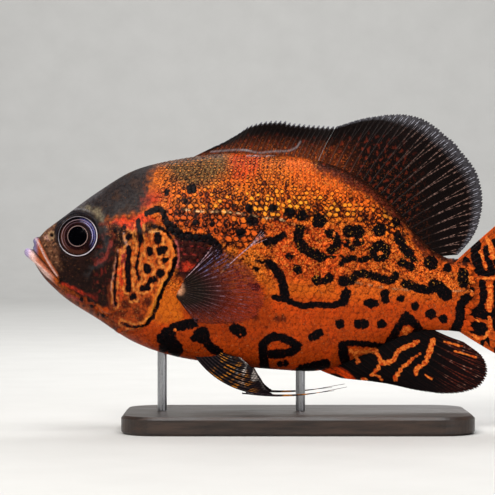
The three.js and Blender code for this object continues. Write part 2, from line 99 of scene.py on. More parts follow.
def body_point(x, turn):
    """A point of the left side: turn goes from the belly, -90 degrees, past the flank to the back."""
    x, turn = np.broadcast_arrays(np.asarray(x, float), np.asarray(turn, float))
    share = np.clip((x - SNOUT) / SNOUT_ROUNDING, 0, 1)
    rounding = np.sqrt(share * (2 - share))
    top, bottom = along(BODY_TOP, x), along(BODY_BOTTOM, x)
    middle = bottom + (top - bottom) * WIDEST
    back = turn > 0
    power = 2 / np.where(back, BACK_ROUNDNESS, BELLY_ROUNDNESS)
    reach = np.where(back, top - middle, middle - bottom) * rounding
    half = along(BODY_HALF, x) * rounding
    across = half * np.abs(np.cos(turn)) ** power
    up = reach * np.sign(turn) * np.abs(np.sin(turn)) ** power
    return np.stack([x, -across, middle + up], -1)


def side_of_body(x, z):
    """The y of the left side of the body at a place in the side view."""
    top, bottom = along(BODY_TOP, x), along(BODY_BOTTOM, x)
    middle = bottom + (top - bottom) * WIDEST
    back = z > middle
    reach = np.where(back, top - middle, middle - bottom)
    power = np.where(back, BACK_ROUNDNESS, BELLY_ROUNDNESS)
    return -along(BODY_HALF, x) * np.clip(1 - np.abs((z - middle) / reach) ** power, 0, 1) ** (1 / power)


def as_seen(points):
    """Where places on the body appear in the photo's view. What lies nearer looks a little larger."""
    near = CAMERA["distance"] / (CAMERA["distance"] - np.abs(points[..., 1]))
    level = CAMERA["height"] - AXIS_HEIGHT
    return CAMERA["x"] + (points[..., 0] - CAMERA["x"]) * near, level + (points[..., 2] - level) * near


# Flank distances, measured round the body from the middle of the side, up to the back and down to the belly
FLANK_START, FLANK_STEP = -145.0, 1.0
TURNS = np.linspace(-math.pi / 2, math.pi / 2, 361)


def arcs_round(xs):
    """Distances round the left half of the body at each x, from the belly up."""
    line = body_point(xs[:, None], TURNS[None, :])
    steps = np.linalg.norm(np.diff(line, axis=1), axis=-1)
    return np.concatenate([np.zeros((len(xs), 1)), np.cumsum(steps, axis=1)], axis=1)


def arc_table():
    arcs = arcs_round(np.arange(FLANK_START, SKIN_END + 10, FLANK_STEP))
    return arcs - arcs[:, len(TURNS) // 2][:, None]


ARCS = arc_table()


def turn_at(x, arc):
    """The turn that lies arc millimetres up from the middle of the side."""
    place = np.clip((x - FLANK_START) / FLANK_STEP, 0, len(ARCS) - 1.001)
    i = place.astype(int)
    share = place - i
    found = np.empty_like(x)
    for row in np.unique(i):
        mine = i == row
        low = np.interp(arc[mine], ARCS[row], TURNS)
        high = np.interp(arc[mine], ARCS[row + 1], TURNS)
        found[mine] = low + (high - low) * share[mine]
    return found


def flank_point(x, arc):
    return body_point(x, turn_at(x, arc))


# Lines, distances and soft edges in the side view

def smooth_line(points, count):
    """Points set evenly along a smooth curve through the given ones."""
    points = np.array(points, float)
    steps = np.linalg.norm(np.diff(points, axis=0), axis=1) ** 0.5
    knots = np.concatenate([[0], np.cumsum(steps)])
    slopes = np.gradient(points, knots, axis=0)
    fine = np.linspace(0, knots[-1], 40 * len(points))
    i = np.clip(np.searchsorted(knots, fine, "right") - 1, 0, len(knots) - 2)
    span = (knots[i + 1] - knots[i])[:, None]
    t = (fine - knots[i])[:, None] / span
    rest = 1 - t
    line = (
        points[i] * (1 + 2 * t) * rest**2
        + points[i + 1] * (3 - 2 * t) * t**2
        + span * (slopes[i] * t * rest**2 - slopes[i + 1] * t**2 * rest)
    )
    run = np.concatenate([[0], np.cumsum(np.linalg.norm(np.diff(line, axis=0), axis=1))])
    shares = np.linspace(0, run[-1], count)
    return np.stack([np.interp(shares, run, line[:, k]) for k in range(line.shape[1])], -1)


def distance_to_line(x, z, points):
    """The distance to a line of straight pieces, and on which side of it each place lies."""
    nearest = np.full(x.shape, np.inf)
    side = np.ones(x.shape)
    for (ax, az), (bx, bz) in zip(points[:-1], points[1:]):
        dx, dz = bx - ax, bz - az
        t = np.clip(((x - ax) * dx + (z - az) * dz) / (dx * dx + dz * dz), 0, 1)
        away = np.hypot(x - ax - t * dx, z - az - t * dz)
        cross = dx * (z - az) - dz * (x - ax)
        closer = away < nearest
        side = np.where(closer, np.sign(cross), side)
        nearest = np.where(closer, away, nearest)
    return nearest, side


def distance_to_region(x, z, corners):
    """The distance to a closed outline, negative inside it."""
    loop = list(corners) + [corners[0]]
    away, _ = distance_to_line(x, z, loop)
    inside = np.zeros(x.shape, bool)
    for (ax, az), (bx, bz) in zip(loop[:-1], loop[1:]):
        if az != bz:
            crosses = (az > z) != (bz > z)
            inside ^= crosses & (x < ax + (bx - ax) * (z - az) / (bz - az))
    return np.where(inside, -away, away)


def unit(vectors):
    return vectors / np.maximum(np.linalg.norm(vectors, axis=-1, keepdims=True), TINY)


def bell(value, middle, width):
    """A smooth bump of height 1 at the middle."""
    return np.exp(-(((value - middle) / width) ** 2))


def ramp(value, low, high):
    """Goes smoothly from 0 at low to 1 at high."""
    t = np.clip((value - low) / (high - low), 0, 1)
    return t * t * (3 - 2 * t)


def ripple(x, z, seed, size):
    """A smooth random field between about -1 and 1, with swells of the given size."""
    rng = np.random.default_rng(seed)
    total = np.zeros(x.shape)
    for _ in range(9):
        angle, phase = rng.uniform(0, math.pi * 2, 2)
        rate = 2 * math.pi / size * rng.uniform(0.6, 1.7)
        total += np.sin((x * math.cos(angle) + z * math.sin(angle)) * rate + phase)
    return total / 4.5


# The head's lines in the side view

EYE = {"x": -119.2, "z": 16.0, "radius": 11.3}
NOSTRIL = {"x": -134.0, "z": 16.6, "radius": 1.0}
MOUTH_CORNER = (-129.4, -8.3)
MOUTH_SLIT = [(-150, 10.8), (-148.6, 10.3), (-145.2, 8.9), (-137.6, 1.1), MOUTH_CORNER]
LIP_GROOVE = [(-147.5, 19.6), (-145.6, 17.7), (-141.6, 14.2), (-135.4, 3.2), MOUTH_CORNER]
CHIN_GROOVE = [(-149, -1), (-143.5, -1.5), (-137, -7.6), (-130, -12.6)]
LOWER_LIP_SIDE = [
    (-153, 9.9), (-148.6, 9.9), (-145.2, 8.6), (-137.6, 0.9), (-129.6, -8.4), (-131.2, -10.8),
    (-138.5, -4.8), (-143.5, 1), (-147, 3.2), (-153, 3),
]
UPPER_LIP_SIDE = [
    (-149, 10.8), (-145.2, 9.2), (-137.6, 1.4), (-129.6, -8), (-130.3, -4), (-135.6, 4), (-141, 14.4),
    (-144.5, 16.4), (-149, 17),
]
UPPER_LIP_RIM = [(-144.5, 15.7), (-141.6, 12.6), (-136.9, 4.0), (-130.8, -5.5)]
UPPER_LIP = {"front": (-142.7, 13.4), "corner": (-129.9, -7.0), "half": 12.6, "thick": 2.25, "thin": 1.4}
LOWER_LIP = {"front": (-147.2, 7.2), "corner": (-130.5, -8.4), "half": 12.4, "thick": 2.6, "thin": 1.0}
MOUTH_INSIDE = (-128.0, 3.0)
LIP_JOIN = 0.9
LIP_SEARCH = np.linspace(7.0, -3.0, 51)
SLIT_DEPTH, SLIT_HALF = 2.4, 0.36
JAW_LINE = [MOUTH_CORNER, (-120.5, -15.6), (-112, -20.5), (-109.2, -26.5), (-111.5, -40)]
FRONT_PLATE = [
    (-97, 16), (-98.3, 8.5), (-100.1, -1.5), (-101.4, -9), (-101.2, -17), (-100, -23), (-101.5, -27),
    (-106, -26), (-110.5, -22.5),
]
GILL_EDGE = [
    (-86, 24), (-79.5, 19.5), (-72.5, 18), (-68, 12), (-66.4, 5), (-68.6, -1.5), (-73, -11),
    (-77.5, -20), (-80.5, -28), (-85, -34), (-94, -36), (-103, -39.5),
]
NECK_TOP = [(-80, 66), (-80, 50), (-81.5, 33)]
NECK_LOW = [(-88, -40), (-90, -60)]


def lip_spheres(lip, count=46):
    """Centres and radii of the small spheres that make up the left half of a lip."""
    turn = np.linspace(-math.pi / 2, 0.06, count)
    share = 1 - np.cos(turn)
    x = lip["front"][0] + (lip["corner"][0] - lip["front"][0]) * share
    z = lip["front"][1] + (lip["corner"][1] - lip["front"][1]) * share
    radius = lip["thick"] + (lip["thin"] - lip["thick"]) * np.abs(np.sin(turn)) ** 1.5
    return np.stack([x, lip["half"] * np.sin(turn), z], -1), radius


def reach_of_lips(points, rays, height):
    """How far along its ray each point moves to reach the lips, which join the skin softly."""
    upper, lower = lip_spheres(UPPER_LIP), lip_spheres(LOWER_LIP)
    centres = np.concatenate([upper[0], lower[0]])
    radii = np.concatenate([upper[1], lower[1]])
    found = np.full(len(points), np.nan)
    before = np.ones(len(points))
    for k, step in enumerate(LIP_SEARCH):
        spots = points + rays * step
        gaps = np.sqrt(((spots[:, None, :] - centres[None]) ** 2).sum(-1)) - radii
        lips, skin = gaps.min(1), step - height
        blend = np.maximum(LIP_JOIN - np.abs(lips - skin), 0) / LIP_JOIN
        now = np.minimum(lips, skin) - blend**2 * LIP_JOIN / 4
        slit, _ = distance_to_line(spots[:, 0], spots[:, 2], MOUTH_SLIT)
        now = now + SLIT_DEPTH * bell(slit, 0, SLIT_HALF)
        if k:
            crossed = np.isnan(found) & (now <= 0)
            back = -now / np.maximum(before - now, 1e-6)
            found[crossed] = (step + back * (LIP_SEARCH[0] - LIP_SEARCH[1]))[crossed]
        before = now
    return np.where(np.isnan(found), LIP_SEARCH[-1], found)


def head_relief(plain):
    """Heights of the head's soft forms above the plain body."""
    x, z = plain[..., 0], plain[..., 2]
    seen_x, seen_z = as_seen(plain)
    from_eye = np.hypot(x - EYE["x"], z - EYE["z"])
    over_eye = ramp(z - EYE["z"], -3, 6)
    height = 0.8 * bell(from_eye, 12.4, 0.8) * (0.4 + 0.6 * over_eye)
    height -= 0.55 * bell(from_eye, 13.7, 0.45) * over_eye
    height += 0.3 * bell(from_eye, 15.4, 1.4)
    height -= 4.2 * (1 - ramp(from_eye, 10.7, 11.6))

    from_nostril = np.hypot(x - NOSTRIL["x"], z - NOSTRIL["z"])
    height += 0.45 * bell(from_nostril, 1.7, 0.5)
    height -= 1.3 * (1 - ramp(from_nostril, 0.6, 1.3))

    away, _ = distance_to_line(x, z, LIP_GROOVE)
    height -= 1.0 * bell(away, 0, 0.55)
    away, _ = distance_to_line(x, z, CHIN_GROOVE)
    height -= 0.45 * bell(away, 0, 0.7)
    away, _ = distance_to_line(seen_x, seen_z, smooth_line(JAW_LINE, 30))
    height -= 0.75 * bell(away, 0, 0.6) * ramp(x, -131, -126)

    away, side = distance_to_line(seen_x, seen_z, smooth_line(FRONT_PLATE, 40))
    cheek = side < 0
    height += np.where(cheek, 0.75 * (1 - ramp(away, 0.3, 9)), 0)
    height -= 0.85 * bell(away, 0.3, 0.5)
    height -= np.where(cheek, 0.35 * bell(away, 3.1, 0.6), 0)

    away, side = distance_to_line(seen_x, seen_z, smooth_line(GILL_EDGE, 60))
    cover = side < 0
    free = 1 - ramp(z, 17, 24)
    height += np.where(cover, 1.25 * (1 - ramp(away, 1.0, 16)) * ramp(away, -0.6, 0.6), 0) * free
    height -= np.where(cover, 0.5 * bell(away, 3.3, 0.55), 0) * free
    height -= np.where(cover, 0, 1.0 * bell(away, 0.4, 0.9)) * free
    height += 0.25 * ripple(x, z, 5, 9) * ramp(x, -140, -125) * (1 - ramp(x, -92, -84))
    return height


# Marks

# Seeds of the ripples along the edges of marks, and the distance that stands for no mark
MARK_SEEDS = {"black": 31, "head": 33, "dull": 35, "glow": 37}
NO_MARK = 9.0

# Black marks of the flank: a width, and the line it follows
BLACK_STROKES = [
    (3.6, [(-82, 28.5), (-77, 31), (-73.5, 29), (-72, 24.5), (-69.5, 21.5)]),
    (5.0, [(-70, 21.5), (-65, 17.8), (-59, 15.6), (-53, 15.2), (-47.5, 14), (-43.5, 10.5)]),
    (3.0, [(-44, 11), (-42, 7)]),
    (2.2, [(-22, 2.2), (-15.5, 1.8)]),
    (5.2, [(-15.5, 1), (-11.5, -2.5), (-8.5, -7.5), (-7.2, -13), (-6.5, -17)]),
    (3.6, [(-12.5, -17.5), (-8, -18.2), (-3, -20), (2.5, -22.3), (10, -21.6), (19, -22), (24.5, -21)]),
    (5.4, [(25.5, -20), (27, -15.5)]),
    (5.6, [(1.5, 20.5), (0.5, 14.5), (4, 9.2), (13.5, 4.6)]),
    (4.8, [(17.5, 17.8), (21.5, 15.5), (22.2, 11.5), (18.8, 8.5)]),
    (3.4, [(42, 5), (38, 3.6), (35, 2.8)]),
    (5.6, [(55.5, 16), (58, 11.5), (61.5, 6.5)]),
    (4.6, [(58, 1.5), (63, -1)]),
    (6.4, [(91.4, -4.6), (91.4, -9.6)]),
    (3.6, [(31.5, 4), (27.5, 3), (24, 0.5)]),
    (1.1, [(13.5, 4.4), (22, 5), (31, 4)]),
    (4.6, [(30, -8.5), (34.5, -4.5), (41, -5.5), (47, -7.5), (51, -8.5), (54.5, -5.5)]),
    (4.8, [(59.5, -10), (66, -12.3), (72, -13.8)]),
    (7.0, [(75.5, -10.8), (79.5, -13.3), (82, -16.2)]),
    (4.6, [(-17, 13), (-12, 14), (-8, 16.5)]),
    (5.6, [(-57, -31.8), (-62, -32.8), (-67, -34)]),
    (8.4, [(-71, -38), (-69.5, -43), (-66.5, -46)]),
    (5.0, [(-50, -41), (-47.5, -45), (-43, -47.5)]),
    (4.8, [(-18.5, -44), (-16, -40.5), (-11, -39.2), (-5, -41), (0.5, -44.5)]),
    (5.2, [(0.5, -44.5), (-2, -47), (-8, -48.6), (-14, -48.8)]),
    (5.2, [(-18.6, -44), (-18.4, -50), (-17.5, -57)]),
    (5.4, [(2, -57.5), (9, -55.5), (16, -54)]),
    (4.8, [(8.5, -39.5), (12.5, -37)]),
    (3.4, [(24.7, -43.4), (30.2, -42.8), (39.4, -43.4), (45.5, -44.3), (51, -45)]),
    (5.6, [(25.3, -45), (26.2, -51), (29, -57), (34, -60)]),
    (6.5, [(39.5, -52), (38.5, -56), (36, -60)]),
    (4.6, [(60.2, -27.4), (56.5, -33), (52.6, -39.5), (49.5, -45)]),
    (5.2, [(60.2, -28), (64.5, -31.8), (66.8, -35), (65, -38.6), (59, -41)]),
    (4.0, [(60.3, -28.5), (60.5, -31)]),
    (4.4, [(55, -41), (62, -42.5), (68, -40)]),
    (2.0, [(68, -35.4), (74, -37), (83, -37.6)]),
    (5.4, [(93.6, -17.5), (90.3, -21.5), (89.8, -26), (89.5, -31), (86.6, -35.6)]),
]
# Black spots of the flank: x, z and radius
BLACK_SPOTS = [
    (-71.5, 40.2, 1.8), (-58, 42.3, 2.9), (-61, 35.5, 1.7), (-26, 31.5, 2.6), (-25, 24.4, 3.0),
    (-12.8, 31.5, 2.4), (-4, 29, 3.2), (2.5, 27.6, 3.4), (12.3, 24.6, 4.1), (-31, 17.6, 2.5),
    (-55.6, 23.7, 1.7), (-46.4, 22.5, 1.5), (-19.5, 18, 1.8), (28.5, 18.6, 3.8), (33.4, 18.4, 3.9),
    (34, 13.4, 3.2), (27.3, 12.4, 2.3), (30.2, 9.6, 1.9), (45.3, 19.7, 3.6), (45.6, 7.8, 6.1),
    (54.4, 23.6, 2.8), (64, 3.6, 2.0), (73.8, 1.4, 4.1), (82.8, -1.4, 2.5), (-5, 5.4, 1.6),
    (-2.5, 4.6, 1.5), (0.3, -2.5, 2.8), (11, -8, 2.9), (14.8, -8.6, 2.0), (18, -6.9, 2.9),
    (26, -8.7, 3.4), (40.9, -21, 2.9), (38.4, -20.6, 2.0), (43.5, -20.8, 2.0), (48.6, -15.6, 2.5),
    (48.8, -18.6, 2.5), (57.1, -18.1, 2.2), (65.1, -22.4, 2.3), (73.6, -26.7, 3.0), (80.4, -29.4, 2.6),
    (23.6, -32.2, 2.7), (34.2, -32.2, 2.9), (36.8, -32.2, 2.8), (46.7, -32.2, 2.7), (-34.2, -35, 3.2),
    (-30.8, -36.6, 3.3), (-9, -54, 1.9), (-6.3, -53.9, 1.9), (-52.2, -38.4, 4.8), (-56, -40, 2.4),
    (-74, -40, 3.2), (-73, -45, 3.0), (-22, -1.8, 1.6), (-24, -1.5, 1.2), (-22.6, -12, 2.4),
    (-26, -10.5, 1.3),
]
# Bars at the root of the tail fin, drawn wider than the body's marks
TAIL_STROKES = [
    (5.4, [(98.5, 12), (98.5, 4), (100.5, -3)]),
    (4.4, [(104.5, 9), (105.5, 2), (107.5, -3.5)]),
    (3.6, [(102.2, -9.5), (102, -20)]),
    (6.4, [(99.5, -25.5), (104, -27)]),
    (7.4, [(97.5, -34), (101.5, -35)]),
    (3.0, [(109.3, -9), (109.6, -20), (109, -34)]),
]
# Fainter, red-black spots
DULL_SPOTS = [
    (-11, -29.3, 1.9), (-7.5, -29.3, 2.0), (-23, -28.5, 1.8), (-13, 12, 2), (21.4, 31.8, 3.0),
    (29.8, 37.5, 1.9), (37, 26, 2.6), (48.5, 29, 2.0), (-48.9, 30.5, 1.6), (-82, -20, 2.6),
    (-88, -25, 2.0), (-96.5, -26, 1.8), (-94, -21.5, 2.8), (-99, -27, 1.6), (-86, -29.5, 1.8),
]
# Black marks of the gill cover and the cheek
HEAD_STROKES = [
    (3.0, [(-92.5, 9.5), (-92.8, 0), (-92.4, -8), (-92.2, -13.5)]),
    (2.9, [(-87.4, 24.2), (-86.5, 19), (-86.1, 13.5)]),
    (1.4, [(-86.1, 12), (-87.2, 5), (-88, -2), (-86.8, -8)]),
    (1.2, [(-98.2, 8), (-99.3, -3), (-100.2, -12), (-99.8, -22)]),
    (1.4, [(-80, 22), (-74.5, 20.2), (-70.5, 17), (-67.6, 12.5), (-66.6, 7)]),
    (2.6, [(-66.8, 4), (-67.9, -1.5), (-69.6, -5.5)]),
    (1.9, [(-69.6, -5.5), (-73.4, -12.5), (-76.2, -20), (-78.6, -27.5), (-83.5, -33)]),
    (1.3, [(-83.5, -33), (-90, -34), (-96, -31.5)]),
]
HEAD_SPOTS = [
    (-76.6, 16.6, 2.1), (-76.4, 13.6, 2.2), (-81, 8.6, 1.8), (-81, 6.8, 1.8), (-74.8, 8, 2.5),
    (-72.2, 9, 1.4), (-72.7, 3, 2.0), (-82.2, -1.9, 2.6), (-74.8, -4.4, 2.5), (-80.2, -8, 1.9),
    (-78, -7.6, 1.6), (-84.5, -12.4, 2.0), (-82.4, -12, 2.0), (-90, -17, 2.0), (-93, -11.8, 1.4),
    (-92.5, 16, 1.7), (-95.2, 21.2, 1.4), (-100, 19.5, 1.3), (-106.5, -27.6, 1.0), (-112.5, -22.5, 1.1),
    (-118.5, -18.8, 1.2),
]
# Orange that lies over black: on the big blotch by the anal fin and on that fin
GLOW_STROKES = [
    (2.2, [(29.5, -47.3), (36, -47.4), (43, -46.8), (45.2, -50), (45.9, -53.8)]),
    (2.0, [(31.5, -48.2), (33.6, -52)]),
    (2.5, [(46, -54), (52.9, -52.4), (54.7, -48.7), (56.8, -46), (61.4, -44.4), (66.3, -42)]),
    (2.0, [(45.6, -54.2), (43.7, -57.9), (41.2, -60)]),
    (1.2, [(43, -59), (45, -61), (47, -63)]),
    (1.2, [(67.8, -48.1), (63.2, -51.8)]),
    (2.0, [(63.2, -51.8), (59, -55.4), (55.3, -59.7), (54.1, -62.1)]),
    (3.2, [(74.9, -41.4), (73.6, -45.6), (72, -50)]),
    (2.5, [(72, -50), (70, -54.2), (65.9, -56.6), (65.4, -59.6)]),
    (1.1, [(70.5, -60), (74.5, -62.7)]),
    (0.9, [(81, -42), (90.8, -44.3)]),
    (0.9, [(87.1, -47.2), (98.7, -50.5)]),
]
TAIL_GLOW = [
    (1.5, [(101, 8), (102.5, 3.5), (104, -0.8)]),
    (2.6, [(108.5, 22.5), (104.5, 19.5), (102.7, 16.5), (106, 12.5), (107.4, 4)]),
    (1.2, [(99.5, -6.9), (110, -6.8)]),
    (3.0, [(106.3, -11.5), (106, -17.5), (105.8, -24)]),
    (1.8, [(106, -28.5), (106.3, -34), (104, -38.8), (99.5, -40.5), (96.5, -38)]),
    (0.8, [(93, -27), (100.2, -31)]),
]
GLOW_SPOTS = [
    (45.7, 7, 1.3), (60.9, -35.2, 1.8), (59.4, -36.6, 1.8), (33.7, -52.6, 1.3), (36.5, -63, 1.1),
    (38, -62.8, 0.9), (54.1, -62, 1.6), (101.2, 7.4, 1.1), (-31, -38, 0.5), (-67.3, -35.6, 0.7),
    (35, 14, 0.9), (20.5, 17, 0.8), (26.5, 12.6, 0.8),
]


def distance_to_marks(x, z, strokes, spots, seed):
    """The distance to the nearest edge of the marks, negative inside. No two edges run quite true."""
    nearest = np.full(x.shape, 99.0)
    for width, points in strokes:
        line = smooth_line(points, 12) if len(points) > 2 else np.array(points)
        near = (np.abs(x - line[:, 0].mean()) < 45) & (np.abs(z - line[:, 1].mean()) < 45)
        away, _ = distance_to_line(x[near], z[near], line)
        nearest[near] = np.minimum(nearest[near], away - width / 2)
    for sx, sz, radius in spots:
        nearest = np.minimum(nearest, np.hypot(x - sx, z - sz) - radius)
    return nearest + 0.45 * ripple(x, z, seed, 4.0) + 0.25 * ripple(x, z, seed + 1, 1.9)


# Colours

def rgb(code):
    """A hex colour as light amounts."""
    parts = np.array([int(code[i : i + 2], 16) / 255 for i in (1, 3, 5)])
    return np.where(parts <= 0.04045, parts / 12.92, ((parts + 0.055) / 1.055) ** 2.4)


ORANGE = rgb("#d9651a")
YELLOW = rgb("#f09c28")
LIP_VIOLET = rgb("#b7a6cc")
LIP_GREY = rgb("#837da3")
LIP_PINK = rgb("#e6bdb2")
LIP_ORANGE = rgb("#b5541c")
SHEEN = 0.05


def flat(x, code):
    """One colour at all places."""
    return np.broadcast_to(rgb(code), x.shape + (3,)).copy()


def cover(tint, colour, mask):
    """Lays a colour, or the colour of a hex code, over the tints where the mask is 1."""
    colour = rgb(colour) if isinstance(colour, str) else colour
    return tint + (colour - tint) * np.clip(mask, 0, 1)[..., None]


def lay(coat, mask, tint, deep):
    """Lays a light and a dark colour over the coat, from hex codes."""
    coat["tint"] = cover(coat["tint"], tint, mask)
    coat["deep"] = cover(coat["deep"], deep, mask)


def region_mask(x, z, corners, soft):
    return 1 - ramp(distance_to_region(x, z, corners), -soft, soft)


def stroke_mask(x, z, points, width, soft=0.6):
    away, _ = distance_to_line(x, z, smooth_line(points, 16) if len(points) > 2 else points)
    return 1 - ramp(away, width / 2 - soft / 2, width / 2 + soft)


# Zones and lines of colour in the side view, named after what they colour
SHEATH_LINE = [
    (-26, 61), (-20, 58.5), (-9, 58), (5, 57.5), (13, 51.5), (20, 49.5), (30, 43), (38, 39.5), (45, 33),
    (50, 27.5), (56, 21), (61, 19.5), (65, 12), (70, 7), (80, 3.5), (92, 1),
]
SECOND_FOLD = [(-27.5, 60.4), (-18.3, 60.2), (-10.4, 60.9), (-3, 62)]
OLIVE_ZONE = [(-74, 60), (-53, 63), (-37, 63), (-38, 52), (-46, 45), (-58, 42), (-69, 47)]
RED_ZONE_FRONT = [(-38, 64), (-20, 64), (-20, 53), (-28, 46), (-36, 47)]
RED_ZONE_REAR = [(-9, 62), (10, 62), (24, 54), (40, 42), (50, 30), (36, 30), (18, 37), (0, 44)]
NAPE_ORANGE = [(-86, 62), (-73, 62), (-69, 50), (-71, 38), (-80, 32), (-90, 31), (-88, 40), (-86, 50)]
YELLOW_ZONE = [
    (-58, 40), (-44, 43), (-20, 43), (10, 39), (30, 33), (52, 24), (60, 12), (50, 22), (20, 26),
    (-20, 27), (-54, 31),
]
HEAD_ZONE = [
    (-160, 80), (-74, 80), (-78, 55), (-80.5, 49), (-82, 42), (-84, 35), (-87, 29.5), (-99, 27.5),
    (-106, 25.5), (-105, 17), (-99, 14), (-98, 8), (-100.5, -3), (-101.8, -15), (-101, -25), (-112, -22),
    (-131, -10), (-134, -12), (-160, -8),
]
GILL_ZONE = [
    (-99, 15), (-88, 24), (-78, 21.5), (-70, 18), (-66.6, 8.5), (-68, -1), (-74.8, -13), (-79.6, -26.5),
    (-84.5, -33.6), (-94, -36), (-103, -30), (-102, -15), (-101, -3),
]
CHEEK_RED_ZONE = [
    (-116, 22), (-100, 22), (-99, 8), (-101, -4), (-103, -22), (-112, -17), (-110, -4), (-112, 6),
]
BROW_ZONE = [(-146, 15), (-133, 27), (-120, 38), (-104, 50), (-104, 44), (-118, 31), (-131, 22), (-140, 14)]
TEMPLE_ZONE = [
    (-108, 25), (-98, 27), (-87, 28), (-79, 25), (-77, 20), (-84, 15), (-92, 13), (-99, 9), (-106, 14),
]
SLATE_ZONE = [(-109, 22), (-103, 20), (-102, 8), (-110, -4), (-116, -6), (-110, 4), (-108, 12)]
# Red and pink lines of the head: width, strength, colour and course
HEAD_LINES = [
    (1.3, 0.9, "#c8351c", [(-129, -10), (-125, -11.5), (-121, -13.5), (-117, -15.8)]),
    (1.1, 0.8, "#8a2418", [(-117, -15.8), (-112.5, -17), (-110.3, -19.3)]),
    (1.0, 0.7, "#a83040", [(-126, -16.5), (-122, -18), (-118.5, -19.5)]),
    (1.7, 0.75, "#93382f", [(-110.5, 1), (-105.6, 4), (-103.2, 9), (-102, 13)]),
    (1.8, 0.8, "#b83040", [(-95.4, 9.5), (-95.3, 4), (-95.6, 0)]),
    (2.6, 0.95, "#e2401a", [(-96.6, -2), (-97.3, -6), (-96.8, -10)]),
    (3.2, 0.95, "#de4a1c", [(-97, -14.5), (-97.6, -18), (-99, -20.5)]),
    (1.3, 0.6, "#8e2c20", [(-108, 22.6), (-103, 23.2), (-99.5, 23.5)]),
    (2.4, 0.6, "#8a3a16", [(-103, -12), (-102.8, -18), (-101.8, -22.5)]),
    (
        0.6, 0.85, "#d89a86",
        [
            (-98.4, 8), (-99.5, 3.5), (-100.2, -1.5), (-101.2, -6.5), (-101.7, -11.5), (-101.2, -17.5),
            (-100.3, -23)
        ]
    ),
    (1.5, 0.85, "#c65a1c", [(-110, -22), (-107, -25), (-104.4, -26.5), (-101.4, -26)]),
    (2.0, 0.5, "#7c2c20", [(-100.5, 17.5), (-99.5, 15.5)]),
]
COVER_FRONT = [(-99, 22), (-94.5, 21.5), (-92.8, 17), (-92.2, 11), (-94, 9), (-97.6, 10), (-100, 15)]
COVER_TOP = [(-84.5, 21.5), (-82.5, 24.4), (-78, 23.6), (-72.5, 19.2), (-80, 18.9), (-84, 19.5)]
COVER_RIM_HIGHLIGHT = [(-70.6, -6), (-74.6, -12.2), (-77.6, -19.5), (-79.6, -26), (-82.6, -30.5)]
OUTER_RIM = [(-66.8, 14), (-65.3, 9), (-65.2, 4), (-66, -1)]
CHEST_LOW_ZONE = [
    (-112, -26), (-98, -40), (-70, -54), (-44, -60), (-44, -44), (-60, -38), (-76, -36), (-90, -36),
]
CROWN_RED = [
    (-101, 24), (-96, 27), (-93, 24.5), (-89, 27.5), (-85, 28.5), (-81, 26.5), (-78.5, 24), (-82, 22.8),
    (-86, 20), (-90, 18.5), (-92.5, 20), (-96, 22),
]
CHEST_ZONE = [(-78, -9), (-68.5, -14), (-63, -22), (-63, -30), (-70, -32), (-78, -31), (-82, -27)]
GRAIN_ZONE = [
    (-76, 33), (-60, 31), (-42, 29), (-24, 27), (-14, 20), (-24, 12), (-42, 12), (-60, 19), (-72, 24),
]
GILL_SHADE = [
    (-69, 17.5), (-60, 16.5), (-50, 14.5), (-43, 9), (-41.5, 3), (-47, 1), (-53, -3), (-60, -8),
    (-67.5, -7), (-66, 6),
]
GILL_SPLASH = [(-62.5, 1), (-56.5, 1.5), (-54.5, -1), (-57.5, -3.6), (-62, -2.8)]
COARSE_ZONE = [
    (-72, 50), (-50, 48), (-30, 47), (0, 43.5), (20, 42), (36, 38), (48, 33), (58, 22), (62, 14),
    (52, 16), (40, 22), (28, 26), (8, 25), (-10, 24), (-24, 25), (-40, 27), (-56, 29), (-68, 32),
]
FRONT_BAND = [
    (-72, 34), (-40, 30), (-22, 26), (-14, 20), (-22, 10), (-38, 10), (-44, 16), (-60, 20), (-70, 25),
]
SNOUT_ZONE = [
    (-146, 17.5), (-138, 25), (-132, 24), (-133, 15), (-131, 5), (-129, -3), (-133, 0), (-138, 8),
    (-142, 15),
]
EYE_PATCH = [
    (-118.5, 31.5), (-112, 32.5), (-107.5, 30), (-106.2, 24.5), (-108.5, 23.5), (-111.5, 28),
    (-116.5, 30),
]
CHIN_ZONE = [
    (-152, 6), (-141, -1.5), (-130.5, -11), (-118, -18.5), (-108, -25), (-101, -27.5), (-96, -34),
    (-105, -40), (-150, -12),
]
CHIN_EDGE = [
    (-130, -15.5), (-123, -20), (-117, -24.5), (-112, -27.5), (-107, -31), (-100, -35.5), (-94, -38.5),
]
LATERAL_LINE = [(-62, 31), (-52, 29.5), (-41, 29.5), (-30.5, 28.5), (-20, 26.5), (-10, 25.5), (1, 21.5)]
REAR_LATERAL_LINE = [(30, -9), (55, -13), (80, -14), (98, -14)]


